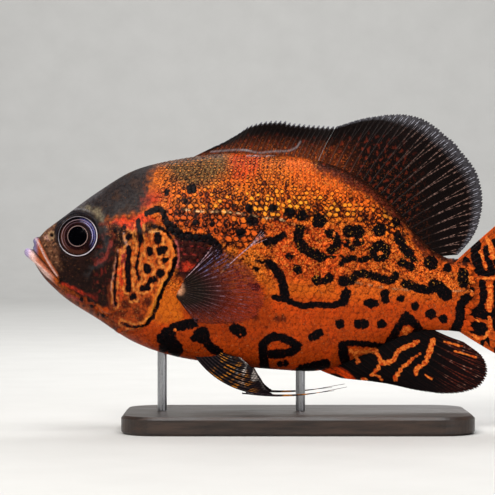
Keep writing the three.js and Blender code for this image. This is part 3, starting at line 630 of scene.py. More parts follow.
def paint_trunk(x, z, x_soft, z_soft):
    """Light and dark colours of the flank, from the bright back to the deep orange belly."""

    def zone(corners, soft):
        return region_mask(x_soft, z_soft, corners, soft)

    patchy, fine = ripple(x, z, 21, 16), ripple(x, z, 22, 5)
    coat = {"tint": flat(x, "#de6d1a"), "deep": flat(x, "#43140a")}
    middle = ramp(x, -22, -8) * ramp(z, -14, -5) * (1 - ramp(z + 0.2 * x, 20, 30))
    lay(coat, 0.9 * middle, "#e0521a", "#7c220c")
    lay(coat, ramp(-z, 6, 24), "#c0460f", "#842907")
    lay(coat, ramp(-z + 4 * patchy, 30, 54), "#aa3c0a", "#7c2606")
    lay(coat, 0.5 * ramp(patchy, -0.1, 0.8), "#dc4a10", "#701d08")
    lay(coat, 0.8 * ramp(z + 0.25 * x, 22, 44), "#da6a1c", "#7a280c")
    lay(coat, zone(RED_ZONE_FRONT, 3), "#d84c18", "#7c220c")
    lay(coat, zone(RED_ZONE_REAR, 4), "#e6641c", "#b04414")
    lay(
        coat, 0.7 * ramp(x, 14, 40) * ramp(z, -24, -12) * (1 - ramp(z + 0.5 * x, 46, 58)), "#f06a1e",
        "#4c140a"
    )
    nape = zone(NAPE_ORANGE, 2.5)
    lay(coat, nape, "#da6c1e", "#8c3a12")
    lay(coat, nape * (1 - ramp(z, 36, 46)), "#c23c1a", "#6e1c0c")
    lay(coat, 0.95 * zone(OLIVE_ZONE, 4), "#745830", "#1e1610")
    lay(coat, 0.9 * zone(GRAIN_ZONE, 4), "#d2521a", "#200a08")
    lay(coat, zone(GILL_SHADE, 1.8), "#2c0e0d", "#0c0606")
    lay(coat, 0.85 * zone(GILL_SHADE, 1) * ramp(ripple(x, z, 56, 4), 0.45, 0.9), "#8a2622", "#2a0c0c")
    lay(coat, 0.9 * zone(GILL_SPLASH, 0.9), "#b8321a", "#6a1810")
    lay(coat, zone(CHEST_ZONE, 2), "#cc6314", "#a8440c")
    lay(coat, zone(CHEST_LOW_ZONE, 3), "#a83c0c", "#6a1c05")
    edge = smooth_line(SHEATH_LINE, 60)
    above = z_soft - np.interp(x_soft, edge[:, 0], edge[:, 1]) + 1.6 * ripple(x, z, 52, 5)
    rear = ramp(x, 4, 14)
    sheath = ramp(above + 1.8 * rear * ripple(x, z, 62, 2.2), -1.8 - 2.4 * rear, 1.8) * ramp(x, -27, -20)
    lay(coat, sheath * (0.55 + 0.45 * rear), "#5a2113", "#160906")
    lay(coat, sheath * rear * ramp(ripple(x, z, 53, 3), 0.3, 0.8), "#7a3a22", "#3a140c")
    lay(coat, sheath * rear * ramp(z - along(BODY_TOP, x), -4.5, -1.0), "#2c130c", "#100705")
    lay(
        coat, 0.8 * stroke_mask(x, z, SECOND_FOLD, 0.6, 0.4) * ramp(ripple(x, z, 63, 9), -0.5, 0.2),
        "#a8a4a8", "#6a6468"
    )
    # Painted rim light: a greyish band along the top of the head and back, ahead of the dorsal fin, stands
    # for the light from above.
    top_rim_light = ramp(z - along(BODY_TOP, np.clip(x, SNOUT, SKIN_END)), -3.2, -1.2) * (1 - ramp(x, -44, -36))
    lay(coat, 0.8 * top_rim_light, "#6e5d55", "#453832")
    blots = ripple(x, z, 25, 6.5) + 0.55 * ripple(x, z, 26, 3.0) + 0.25 * zone(COARSE_ZONE, 3)
    upper = ramp(z, -16, 4) * (1 - ramp(z, 30, 40)) * ramp(x, -76, -66)
    lay(coat, 0.85 * ramp(blots, 0.6, 0.95) * upper, "#3c150a", "#0e0605")
    lay(coat, 0.6 * ramp(fine, 0.7, 1.2), "#8a2c0a", "#2a0c06")
    return coat


def paint_head(coat, x, z, x_soft, z_soft, nostril):
    """The grey forehead, dark mottled cheek, speckled snout, chin and gill cover."""

    def zone(corners, soft):
        return region_mask(x_soft, z_soft, corners, soft)

    patchy, fine = ripple(x_soft, z_soft, 28, 11), ripple(x_soft, z_soft, 29, 4)
    gill = zone(GILL_ZONE, 1.0)
    lay(coat, gill, "#c65318", "#5c1c0b")
    lay(coat, gill * ramp(fine, 0.0, 0.6) * 0.9, "#5c1e0e", "#100706")
    lay(coat, gill * ramp(-fine, 0.5, 1.0) * 0.7, "#e8842a", "#b04a14")
    lay(coat, 0.95 * zone(TEMPLE_ZONE, 2) * (1 - 0.75 * ramp(fine, 0.2, 0.8)), "#33120b", "#0c0605")
    nape = ramp(z, 27, 34)
    x_nape = x_soft + nape * (1.6 * fine + 1.2 * ripple(x, z, 55, 2.4))
    head = region_mask(x_nape, z_soft, HEAD_ZONE, 1.4 + 3.2 * nape)
    lay(coat, head, "#21110e", "#0a0605")
    lay(coat, zone(CHEEK_RED_ZONE, 3) * ramp(fine, 0.1, 0.8) * 0.8, "#6e2018", "#200a09")
    lay(coat, zone(CHIN_ZONE, 1.4), "#64260b", "#200a05")
    under = stroke_mask(x, z, CHIN_EDGE, 4.0, 1.6) * ramp(ripple(x, z, 61, 6), -0.7, 0.2)
    lay(coat, 0.9 * under, "#96400f", "#52200a")
    forehead = head * ramp(z + 0.42 * x, -30, -22)
    lay(coat, forehead, "#2e2929", "#181415")
    lay(coat, forehead * ramp(patchy, 0.1, 0.9) * 0.5, "#4a3327", "#1f1613")
    sheen = zone(BROW_ZONE, 3)
    lay(coat, 0.7 * sheen, "#5b595c", "#333033")
    lay(coat, zone(CROWN_RED, 1.2) * ramp(fine, -1.3, -0.5), "#e4421a", "#6e1c10")
    snout = zone(SNOUT_ZONE, 2.0)
    flecks = ripple(x, z, 30, 2.4)
    lay(coat, 0.9 * snout, "#6c4530", "#261712")
    lay(coat, 0.8 * snout * ramp(flecks, 0.35, 0.9), "#a87a58", "#6a4a34")
    # Painted highlight: a pale pink spot on the snout ahead of the nostril.
    lay(
        coat, 0.6 * snout * (1 - ramp(np.hypot(x_soft + 137.8, z_soft - 15.6), 0.5, 2.2)), "#d0a090",
        "#a07060"
    )
    lay(coat, 0.8 * snout * ramp(-flecks, 0.35, 0.9), "#3a251a", "#120b08")
    lay(coat, 0.7 * (1 - ramp(np.abs(nostril - 1.8), 0.2, 0.8)), "#a98a66", "#7a5c40")
    lay(coat, 1 - ramp(nostril, 0.7, 1.2), "#080505", "#040303")
    lay(coat, 0.7 * zone(EYE_PATCH, 1.6), "#82755c", "#453d33")
    lay(coat, 0.6 * zone(SLATE_ZONE, 3) * ramp(patchy, -0.6, 0.4), "#363a3c", "#1b1e20")
    # Painted shade and highlight of the fold over the eye: a dark band lies in the crease above the eye, and
    # a pale line along the fold's upper rim.
    from_eye = np.hypot(x - EYE["x"] + 1.0, z - EYE["z"] - 1.0)
    over = ramp(z - EYE["z"] - 0.3 * (x - EYE["x"]), -1, 6)
    lay(coat, 0.9 * over * (1 - ramp(np.abs(from_eye - 12.2), 0.7, 1.5)), "#16131a", "#0a080b")
    fold_highlight = (
        1 - ramp(np.abs(from_eye - 14.1), 0.2, 0.7)
    ) * (1 - ramp(x, -116, -110)) * ramp(x, -132, -129)
    lay(coat, 0.7 * over * fold_highlight, "#77757a", "#4a474b")
    x_near, z_near = x + 0.3 * (x_soft - x), z + 0.3 * (z_soft - z)
    for width, strength, tint, points in HEAD_LINES:
        broken = 0.55 + 0.45 * ramp(ripple(x, z, 50, 3.5), -0.6, 0.3)
        lay(coat, strength * broken * stroke_mask(x_near, z_near, points, width, 0.8), tint, "#5a160c")
    # Painted shade: the lower part of the gill cover is darkened.
    low = gill * (1 - ramp(z, -18, -12)) * ramp(-x, 78, 84)
    lay(coat, 0.6 * low, "#8e3414", "#38120a")
    lay(coat, 0.85 * zone(COVER_FRONT, 1.0), "#1f1613", "#0c0808")
    lay(
        coat, 0.7 * stroke_mask(x_near, z_near, [(-95.2, 17.5), (-94.7, 14), (-93, 10.5)], 0.8, 0.6),
        "#c49a90", "#7a5048"
    )
    lay(coat, 0.9 * zone(COVER_TOP, 0.7), "#3c200e", "#140b06")
    lay(
        coat, 0.8 * stroke_mask(x_near, z_near, [(-81, 18.2), (-77, 19), (-74, 17.2)], 0.7, 0.5), "#e0a060",
        "#a86a30"
    )
    rim = stroke_mask(x + 1.2, z, smooth_line(GILL_EDGE[2:-2], 40), 2.2, 1.0)
    lay(coat, 0.85 * rim, "#e2701e", "#b04c14")
    # Painted highlight: a pale yellow line inside the lower rim of the gill cover.
    lay(coat, 0.85 * stroke_mask(x, z, COVER_RIM_HIGHLIGHT, 1.1, 0.6), "#f0982c", "#c06420")
    outer = stroke_mask(x, z, OUTER_RIM, 0.8, 0.5)
    lay(coat, 0.8 * outer, "#c4605a", "#7a2c1c")
    return coat


def paint(points, side):
    """The body's colours, marks and scale pattern at places on its surface."""
    x, z = as_seen(points)
    from_nostril = np.hypot(points[:, 0] - NOSTRIL["x"], points[:, 2] - NOSTRIL["z"])
    if side == RIGHT:
        loose = 0.12 + 0.88 * ramp(x, -84, -66)
        x, z = x + 5 * loose * ripple(x, z, 71, 60), z + 5 * loose * ripple(x, z, 72, 60)
    x_soft, z_soft = x + 1.1 * ripple(x, z, 23, 6), z + 1.1 * ripple(x, z, 24, 6)
    coat = paint_trunk(x, z, x_soft, z_soft)
    on_head = x < -58
    head = {key: value[on_head] for key, value in coat.items()}
    head = paint_head(head, x[on_head], z[on_head], x_soft[on_head], z_soft[on_head], from_nostril[on_head])
    for key, value in head.items():
        coat[key][on_head] = value

    coat["mark"] = distance_to_marks(x, z, BLACK_STROKES, BLACK_SPOTS, MARK_SEEDS["black"])
    coat["mark"][on_head] = np.minimum(
        coat["mark"][on_head],
        distance_to_marks(x[on_head], z[on_head], HEAD_STROKES, HEAD_SPOTS, MARK_SEEDS["head"])
    )
    lay(
        coat, 0.8 * (1 - ramp(distance_to_marks(x, z, [], DULL_SPOTS, MARK_SEEDS["dull"]), -0.8, 0.8)),
        "#3a120c", "#140706"
    )
    for line in (LATERAL_LINE, REAR_LATERAL_LINE):
        away, _ = distance_to_line(x, z, smooth_line(line, 20))
        strong = np.where(x < 12, 1.0, 0.35)
        dots = ramp(ripple(x, z, 36, 5), -0.5, 0.3)
        lay(coat, 0.75 * (1 - ramp(away, 0.6, 1.7)) * dots * strong, "#200c08", "#0c0504")
        lay(
            coat, (1 - ramp(away, 0.15, 0.7)) * ramp(ripple(x, z, 27, 6), -0.3, 0.2) * strong, "#f2cf9a",
            "#b98a5a"
        )
    coat["glow"] = distance_to_marks(x, z, GLOW_STROKES, GLOW_SPOTS, MARK_SEEDS["glow"])
    coat["yellow"] = region_mask(x_soft, z_soft, YELLOW_ZONE, 9)
    coat["fleck"] = ramp(z, -16, -8) * ramp(x, -8, 4)
    band = np.maximum(
        region_mask(x_soft, z_soft, COARSE_ZONE, 3), 0.7 * region_mask(x_soft, z_soft, FRONT_BAND, 3)
    )
    shade = region_mask(x_soft, z_soft, GILL_SHADE, 2)
    rough = 0.3 * ramp(z + 0.1 * np.abs(x), -20, 2) + 0.58 * band
    coat["coarse"] = 0.12 + rough * ramp(x, -82, -72) * (1 - shade)
    coat["coarse"] *= 1 - 0.7 * ramp(x, 8, 18) * ramp(z - along(BODY_TOP, x), -9, -5)
    calm = 1 - 0.65 * region_mask(x_soft, z_soft, RED_ZONE_REAR, 5)
    coat["net"] = 0.15 + 0.85 * np.maximum(ramp(z, 32, 42) * ramp(x, -84, -70) * calm, 0.8 * band)
    coat["dark"] = region_mask(x, z, HEAD_ZONE, 1.5)
    ring = (1 - ramp(np.abs(coat["mark"] - 1.0), 0.25, 0.75)) * region_mask(x_soft, z_soft, GILL_ZONE, 0.8)
    lay(coat, 0.7 * ring * ramp(ripple(x, z, 57, 5), -0.7, 0.2), "#ea9644", "#b05a24")
    return coat


# Meshes

def new_mesh(name, points, faces, material, fields=None, smooth=True):
    """A mesh object from places in millimetres, faces as corner numbers, and values for each corner."""
    data = bpy.data.meshes.new(name)
    faces = [np.asarray(f, np.int32) for f in (faces if isinstance(faces, list) else [faces])]
    counts = np.concatenate([np.full(len(f), f.shape[1], np.int32) for f in faces])
    corners = np.concatenate([f.ravel() for f in faces])
    data.vertices.add(len(points))
    data.vertices.foreach_set("co", (np.asarray(points, float) * MM).astype(np.float32).ravel())
    data.loops.add(len(corners))
    data.loops.foreach_set("vertex_index", corners)
    data.polygons.add(len(counts))
    starts = np.concatenate([[0], np.cumsum(counts)[:-1]]).astype(np.int32)
    data.polygons.foreach_set("loop_start", starts)
    data.update(calc_edges=True)
    data.validate()
    for key, values in (fields or {}).items():
        values = np.asarray(values, np.float32)
        if values.ndim == 2 and values.shape[1] == 3:
            layer = data.attributes.new(key, "FLOAT_COLOR", "POINT")
            filled = np.concatenate([values, np.ones((len(values), 1), np.float32)], axis=1)
            layer.data.foreach_set("color", np.clip(filled, 0, 4).ravel())
        else:
            data.attributes.new(key, "FLOAT", "POINT").data.foreach_set("value", values.ravel())
    data.polygons.foreach_set("use_smooth", np.full(len(counts), smooth))
    data.materials.append(material)
    piece = bpy.data.objects.new(name, data)
    bpy.context.collection.objects.link(piece)
    return piece


def lifted(points):
    return np.asarray(points, float) + np.array([0, 0, AXIS_HEIGHT])


def on_side(side, points, faces):
    """Mirrors a piece made on the left when it belongs on the right."""
    if side == LEFT:
        return points, faces
    return points * np.array([1, -1, 1]), [f[:, ::-1] for f in faces]


def fan(hub, ring, flip=False):
    """Triangles between a hub and a closed ring of corners."""
    pair = (np.roll(ring, -1), ring) if flip else (ring, np.roll(ring, -1))
    return np.stack([np.full(len(ring), hub), *pair], -1)


def grid_faces(rows, columns, closed=False, start=0, flip=False):
    """The four-sided faces of a grid of rows by columns of corners."""
    i, j = np.meshgrid(np.arange(rows - 1), np.arange(columns if closed else columns - 1), indexing="ij")
    following = (j + 1) % columns
    a, b = i * columns + j, i * columns + following
    faces = np.stack([a, b, b + columns, a + columns], -1).reshape(-1, 4) + start
    return faces[:, ::-1] if flip else faces


def grid_normals(points):
    across = np.gradient(points, axis=0)
    round_ = np.gradient(points, axis=1)
    return unit(np.cross(across, round_))


# Shader helpers

class Shader:
    """A material's nodes, written as short calls."""

    def __init__(self, name):
        self.material = bpy.data.materials.new(name)
        self.material.use_nodes = True
        self.tree = self.material.node_tree
        self.surface = self.tree.nodes["Principled BSDF"]

    def node(self, kind, inputs=None, **settings):
        made = self.tree.nodes.new(kind)
        for key, value in settings.items():
            setattr(made, key, value)
        for key, value in (inputs or {}).items():
            self.feed(made.inputs[key], value)
        return made

    def feed(self, socket, value):
        """Sets a socket to a number, a colour or a hex code, or links another node's socket to it."""
        value = rgb(value) if isinstance(value, str) else value
        if isinstance(value, bpy.types.NodeSocket):
            self.tree.links.new(value, socket)
        elif isinstance(value, (tuple, list, np.ndarray)) and socket.type == "RGBA":
            socket.default_value = (*[float(v) for v in value[:3]], 1)
        else:
            socket.default_value = value

    def field(self, name):
        return self.node("ShaderNodeAttribute", attribute_name=name).outputs["Fac"]

    def colour_field(self, name):
        return self.node("ShaderNodeAttribute", attribute_name=name).outputs["Color"]

    def place(self):
        return self.node("ShaderNodeTexCoord").outputs["Object"]

    def noise(self, size, detail=3.0, rough=0.55, place=None):
        """Noise with features about size millimetres across."""
        inputs = {
            "Vector": place or self.place(), "Scale": 1 / (size * MM), "Detail": detail, "Roughness": rough
        }
        return self.node("ShaderNodeTexNoise", inputs).outputs["Fac"]

    def cells(self, size, feature="F1", place=None):
        inputs = {"Vector": place or self.place(), "Scale": 1 / (size * MM)}
        return self.node("ShaderNodeTexVoronoi", inputs, feature=feature).outputs["Distance"]

    def warped(self, size, reach):
        """The place, pushed about by noise of a size, by up to reach millimetres."""
        inputs = {"Vector": self.place(), "Scale": 1 / (size * MM), "Detail": 2.0}
        push = self.node("ShaderNodeTexNoise", inputs).outputs["Color"]
        inputs = {0: push, 1: (reach * MM,) * 3, 2: self.place()}
        return self.node("ShaderNodeVectorMath", inputs, operation="MULTIPLY_ADD").outputs[0]

    def math(self, operation, a, b):
        return self.node("ShaderNodeMath", {0: a, 1: b}, operation=operation).outputs[0]

    def times(self, a, b):
        return self.math("MULTIPLY", a, b)

    def plus(self, a, b):
        return self.math("ADD", a, b)

    def minus(self, a, b):
        return self.math("SUBTRACT", a, b)

    def ramp(self, value, low, high, to_low=0.0, to_high=1.0):
        inputs = {"Value": value, "From Min": low, "From Max": high, "To Min": to_low, "To Max": to_high}
        made = self.node("ShaderNodeMapRange", inputs, interpolation_type="SMOOTHSTEP")
        return made.outputs["Result"]

    def mix(self, share, a, b, blend="MIX"):
        made = self.node("ShaderNodeMix", data_type="RGBA", blend_type=blend)
        for socket, value in ((made.inputs[0], share), (made.inputs[6], a), (made.inputs[7], b)):
            self.feed(socket, value)
        return made.outputs[2]

    def bump(self, height, depth, strength=1.0, under=None):
        inputs = {"Height": height, "Distance": depth * MM, "Strength": strength}
        if under is not None:
            inputs["Normal"] = under
        return self.node("ShaderNodeBump", inputs).outputs["Normal"]

    def finish(self, **inputs):
        for key, value in inputs.items():
            self.feed(self.surface.inputs[key.replace("_", " ")], value)
        return self.material


def marked_colour(shader, base, loose, flecks=None):
    """Lays black marks over a base colour, and orange streaks over those. loose roughens their edges."""
    rough = shader.plus(shader.noise(2.2, 5, 0.7), shader.times(shader.noise(0.7, 3), 0.5))
    wander = shader.times(shader.minus(rough, 0.75), loose)
    edge = shader.plus(shader.field("mark"), wander)
    ink = shader.mix(shader.ramp(shader.noise(0.9, 3), 0.56, 0.7), "#050305", "#33130b")
    if flecks is not None:
        ink = shader.mix(shader.times(flecks, shader.ramp(shader.noise(1.0, 2), 0.64, 0.7)), ink, "#c8842c")
    marked = shader.mix(shader.ramp(edge, -0.3, 0.35), ink, base)
    glow_edge = shader.plus(shader.field("glow"), wander)
    streak = shader.mix(shader.ramp(shader.noise(1.3, 3), 0.35, 0.65), "#b8380c", "#f08434")
    return shader.mix(shader.ramp(glow_edge, -0.3, 0.25), streak, marked)


def skin_material():
    shader = Shader("skin")
    tint, dark = shader.colour_field("tint"), shader.field("dark")
    mottle, grain = shader.noise(1.6, 5, 0.65), shader.noise(0.6, 3, 0.6)
    base = shader.mix(shader.ramp(mottle, 0.42, 0.62, 0.0, 0.8), tint, shader.colour_field("deep"))
    base = shader.mix(shader.ramp(grain, 0.52, 0.66, 0.0, 0.55), base, "#0c0504")
    light = shader.times(shader.ramp(shader.noise(0.8, 2), 0.6, 0.72), shader.ramp(dark, 0, 1, 0.5, 0.1))
    base = shader.mix(light, base, "#d98a4e")
    colour = marked_colour(shader, base, 2.4)
    fine = shader.bump(shader.noise(0.5, 3), 0.05)
    folds = shader.bump(shader.noise(3.0, 3), 0.2, under=fine)
    return shader.finish(Base_Color=colour, Roughness=shader.ramp(mottle, 0.2, 0.8, 0.3, 0.5),
                         Normal=folds, Specular_IOR_Level=SHEEN)


def scale_material():
    """Scales: coarse ones have a bright blob in dark grains, and fine ones are nearly plain."""
    shader = Shader("scales")
    tint, deep, edge = shader.colour_field("tint"), shader.colour_field("deep"), shader.field("edge")
    chance, coarse, yellow = shader.field("chance"), shader.field("coarse"), shader.field("yellow")
    net = shader.field("net")
    grain = shader.noise(0.55, 3, 0.6)
    wander = shader.times(shader.minus(shader.noise(1.5, 4, 0.65), 0.5), 1.5)
    plain = shader.ramp(coarse, 0.42, 0.85, 0.27, 0.0)
    grains = shader.minus(shader.cells(1.15, place=shader.warped(1.1, 1.6)), plain)
    granule = shader.mix(shader.ramp(grains, 0.22, 0.52), tint, deep)
    # Painted glint: a bright orange dot at the middle of each coarse granule.
    granule_glint = shader.times(shader.ramp(grains, 0.08, 0.2, 0.7, 0.0), shader.ramp(coarse, 0.2, 0.42))
    granule = shader.mix(granule_glint, granule, "#f08c38")
    granule = shader.mix(shader.ramp(grain, 0.48, 0.62, 0.0, 0.8), granule, "#160705")
    fine = shader.mix(shader.ramp(shader.noise(1.0, 4, 0.7), 0.46, 0.66, 0.0, 0.75), tint, deep)
    base = shader.mix(shader.ramp(coarse, 0.12, 0.42), fine, granule)

    size = shader.ramp(chance, 0.05, 0.8, 0.12, 0.62)
    from_blob = shader.minus(shader.plus(edge, wander), size)
    blob = shader.times(shader.ramp(from_blob, -0.12, 0.14, 1, 0), shader.ramp(coarse, 0.3, 0.95, 0.1, 0.95))
    warm = shader.mix(
        shader.times(yellow, shader.ramp(chance, 0.4, 0.95)), shader.colour_field("tint"), YELLOW
    )
    warm = shader.mix(shader.ramp(grain, 0.42, 0.6, 0, 0.35), warm, ORANGE)
    base = shader.mix(blob, base, warm)
    rim = shader.plus(shader.plus(edge, wander), shader.ramp(net, 0, 1, 0.0, 0.2))
    gap = shader.times(shader.ramp(rim, 0.55, 0.85), shader.ramp(net, 0, 1, 0.08, 0.9))
    base = shader.mix(gap, base, "#1d0805")
    shade = shader.ramp(
        chance, 0, 1, shader.ramp(coarse, 0.12, 0.42, 0.9, 0.72),
        shader.ramp(coarse, 0.12, 0.42, 1.06, 1.15)
    )
    shaded = shader.node("ShaderNodeVectorMath", {0: base, "Scale": shade}, operation="SCALE").outputs[0]
    colour = marked_colour(shader, shaded, shader.ramp(coarse, 0.12, 0.5, 1.6, 3.4), shader.field("fleck"))
    rings = shader.bump(shader.noise(0.45, 2), 0.06)
    return shader.finish(Base_Color=colour, Roughness=0.42, Normal=rings, Specular_IOR_Level=SHEEN)


# The skin: one closed surface for the head, jaws, gill covers, trunk and tail stem

SKIN_ROWS = {"lips": 74, "head": 150, "trunk": 190}
SKIN_HALF = 112


def skin_stations():
    lips = SNOUT + 0.02 + 18 * (1 - np.cos(np.linspace(0, math.pi / 2, SKIN_ROWS["lips"] + 1)))
    head = np.linspace(lips[-1], -64, SKIN_ROWS["head"] + 1)[1:]
    trunk = np.linspace(-64, SKIN_END, SKIN_ROWS["trunk"] + 1)[1:]
    return np.concatenate([lips, head, trunk])


def half_skin():
    """The left half as a grid, from belly to back, with the head's forms raised and cut in."""
    stations = skin_stations()
    arcs = arcs_round(stations)
    shares = np.linspace(0, 1, SKIN_HALF + 1)
    turns = np.stack([np.interp(shares * run[-1], run, TURNS) for run in arcs])
    turns[:, 0], turns[:, -1] = -math.pi / 2, math.pi / 2
    plain = body_point(stations[:, None], turns)
    normal = grid_normals(plain)
    normal[..., 1] = np.minimum(normal[..., 1], 0)
    normal[:, [0, -1], 1] = 0
    normal = unit(normal)

    x = plain[..., 0]
    height = head_relief(plain) * ramp(np.abs(plain[..., 1]), 2, 9)
    from_inside = unit(plain - np.array([MOUTH_INSIDE[0], 0, MOUTH_INSIDE[1]]))
    inside_share = 1 - ramp(x, -138, -127)
    rays = unit(normal + (from_inside - normal) * inside_share[..., None])
    near = x < -122
    reach = height.copy()
    reach[near] = reach_of_lips(plain[near], rays[near], height[near])
    shaped = plain + rays * reach[..., None]
    for _ in range(2):
        eased = shaped.copy()
        eased[1:-1, 1:-1] = 0.5 * shaped[1:-1, 1:-1] + 0.125 * (
            shaped[:-2, 1:-1] + shaped[2:, 1:-1] + shaped[1:-1, :-2] + shaped[1:-1, 2:]
        )
        near_lips = 1 - ramp(shaped[..., 0], -131, -127)
        shaped += (eased - shaped) * near_lips[..., None]
    return shaped


def lip_tint(fields, x, z):
    """Lips: violet in front, pink, then orange at the corner of the mouth."""
    lower = region_mask(x, z, LOWER_LIP_SIDE, 0.35)
    upper = region_mask(x, z, UPPER_LIP_SIDE, 0.35)
    shade = LIP_VIOLET + (LIP_PINK - LIP_VIOLET) * ramp(x, -148, -144.5)[:, None]
    inner = ramp(z + 0.95 * x, -133.6, -132.2) * ramp(x, -144.5, -141.5)
    shade = shade + (LIP_ORANGE - shade) * np.maximum(ramp(x, -136.5, -131.5), 0.85 * inner)[:, None]
    band = LIP_ORANGE * 0.8 + (LIP_GREY - LIP_ORANGE * 0.8) * (1 - ramp(x, -143.6, -140.6))[:, None]
    # Painted highlight: a pale line along the ridge of the upper lip.
    rim_highlight = stroke_mask(x, z, UPPER_LIP_RIM, 0.55, 0.6)
    from_slit, _ = distance_to_line(x, z, MOUTH_SLIT)
    slit = (1 - ramp(from_slit, 0.2, 0.6)) * (x < -129.5)
    for key, gain in (("tint", 1.0), ("deep", 0.62)):
        fields[key] = cover(fields[key], shade * gain, lower)
        fields[key] = cover(fields[key], band * gain, upper)
        fields[key] = cover(fields[key], rgb("#cdb3ad") * gain, 0.75 * rim_highlight)
        fields[key] = cover(fields[key], rgb("#0d0505"), 0.95 * slit)
    fields["mark"] = np.where((lower > 0.2) | (upper > 0.2), NO_MARK, fields["mark"])
    fields["dark"] = np.maximum(fields["dark"], np.maximum(lower, upper))
    return fields


def make_skin(material):
    half = half_skin()
    rows = len(half)
    other = half[:, -2:0:-1] * np.array([1, -1, 1])
    ring = np.concatenate([half, other], axis=1)
    count = ring.shape[1]
    points = ring.reshape(-1, 3)
    front, rear = ring[0].mean(0), ring[-1].mean(0)
    points = np.concatenate([points, [front, rear]])
    first = np.arange(count)
    last = first + (rows - 1) * count
    caps = [fan(len(points) - 2, first, flip=True), fan(len(points) - 1, last)]
    faces = [grid_faces(rows, count, closed=True), *caps]
    x, z = points[:, 0], points[:, 2]
    left, right = paint(points, LEFT), paint(points, RIGHT)
    is_left = points[:, 1] <= 0
    fields = {}
    for key in left:
        chosen = is_left[:, None] if left[key].ndim == 2 else is_left
        fields[key] = np.where(chosen, left[key], right[key])
    fields = lip_tint(fields, x, z)
    return new_mesh("skin", lifted(points), faces, material, fields)


# Scales: a coat of overlapping plates from the gill covers to the tail fin

SCALE = {
    "step": 4.1, "row": 3.5, "long": 1.55, "wide": 1.22, "rise": 0.34, "sink": 0.4, "rows": 7, "columns": 8
}
SCALE_SIZES = ([-75, -25, 22, 34, 45, 66], [0.78, 1.0, 1.0, 0.78, 0.6, 0.52])
# The map of the scales: where each side starts, how far it reaches, and the patch of one scale
MAP = {
    "left": 0.02, "right": 0.52, "long": 0.46, "low": 0.03, "high": 0.94, "patch": 0.003, "x": (-95, 105),
    "arc": (-75, 80),
}
COAT_BANDS = {"belly": (-99, -12), "flank": (-12, 22), "shoulder": (22, 40), "back": (40, 99)}


def row_places():
    """Arcs of the scale rows, which draw closer toward the back and the belly, and their sizes."""
    arcs = [0.0]
    for step, limit in ((1, 80), (-1, -75)):
        arc = 0.0
        while step * arc < step * limit:
            arc += step * SCALE["row"] * np.interp(arc, *SCALE_SIZES)
            arcs.append(arc)
    return [(arc, np.interp(arc, *SCALE_SIZES)) for arc in sorted(arcs)]


def scale_places(rng):
    """Roots of the scales of one side: x along the fish, arc up from the middle of the side, and size."""
    places = []
    for number, (arc, size) in enumerate(row_places()):
        step = SCALE["step"] * size
        xs = np.arange(-88, 94, step) + (number % 2) * step / 2
        xs = xs + rng.normal(0, 0.06 * step, len(xs)) + 0.6 * ripple(xs, arc + 0 * xs, 81, 30)
        arcs = arc + rng.normal(0, 0.05 * step, len(xs)) + 0.7 * ripple(xs, arc + 0 * xs, 82, 24)
        index = np.clip(((xs - FLANK_START) / FLANK_STEP).astype(int), 0, len(ARCS) - 1)
        fits = (arcs < ARCS[index, -1] - 0.5) & (arcs > ARCS[index, 0] + 1.0)
        places.append(np.stack([xs, arcs, np.full(len(xs), size)], -1)[fits])
    places = np.concatenate(places)
    at = flank_point(places[:, 0], places[:, 1])
    behind_neck = neck_distance(*as_seen(at))
    return places[behind_neck > 1.2]


def neck_distance(x, z):
    """How far a place lies behind the line where the head ends."""
    line = smooth_line([*NECK_TOP, *GILL_EDGE[1:10], *NECK_LOW], 80)
    away, side = distance_to_line(x, z, line)
    return away * np.where(side < 0, -1, 1)


def scale_shape():
    """One scale as a small grid: u from root to rear edge, v from side to side, and how wide it is."""
    rows, columns = SCALE["rows"], SCALE["columns"]
    u = np.linspace(0, 1, rows + 1)[:, None] * np.ones(columns + 1)
    v = np.linspace(-1, 1, columns + 1)[None, :] * np.ones((rows + 1, 1))
    width = np.sqrt(np.clip(1 - np.abs(2 * u - 1) ** 2.6, 0.0, 1)) * 0.93 + 0.07
    return u, v, width


def scale_faces(count):
    """Faces of all scales: a grid on top, and a skirt down to one point under it."""
    rows, columns = SCALE["rows"], SCALE["columns"]
    per = (rows + 1) * (columns + 1)
    loop = [*range(columns), *[columns + r * (columns + 1) for r in range(rows)]]
    loop += [per - 1 - c for c in range(columns)]
    loop += [per - 1 - columns - r * (columns + 1) for r in range(rows)]
    loop = np.array(loop)
    skirt = np.stack([loop, np.roll(loop, -1), np.full(len(loop), per)], -1)
    offsets = np.arange(count)[:, None, None] * (per + 1)
    quads = (grid_faces(rows + 1, columns + 1, flip=True)[None] + offsets).reshape(-1, 4)
    return quads, (skirt[None] + offsets).reshape(-1, 3), per + 1


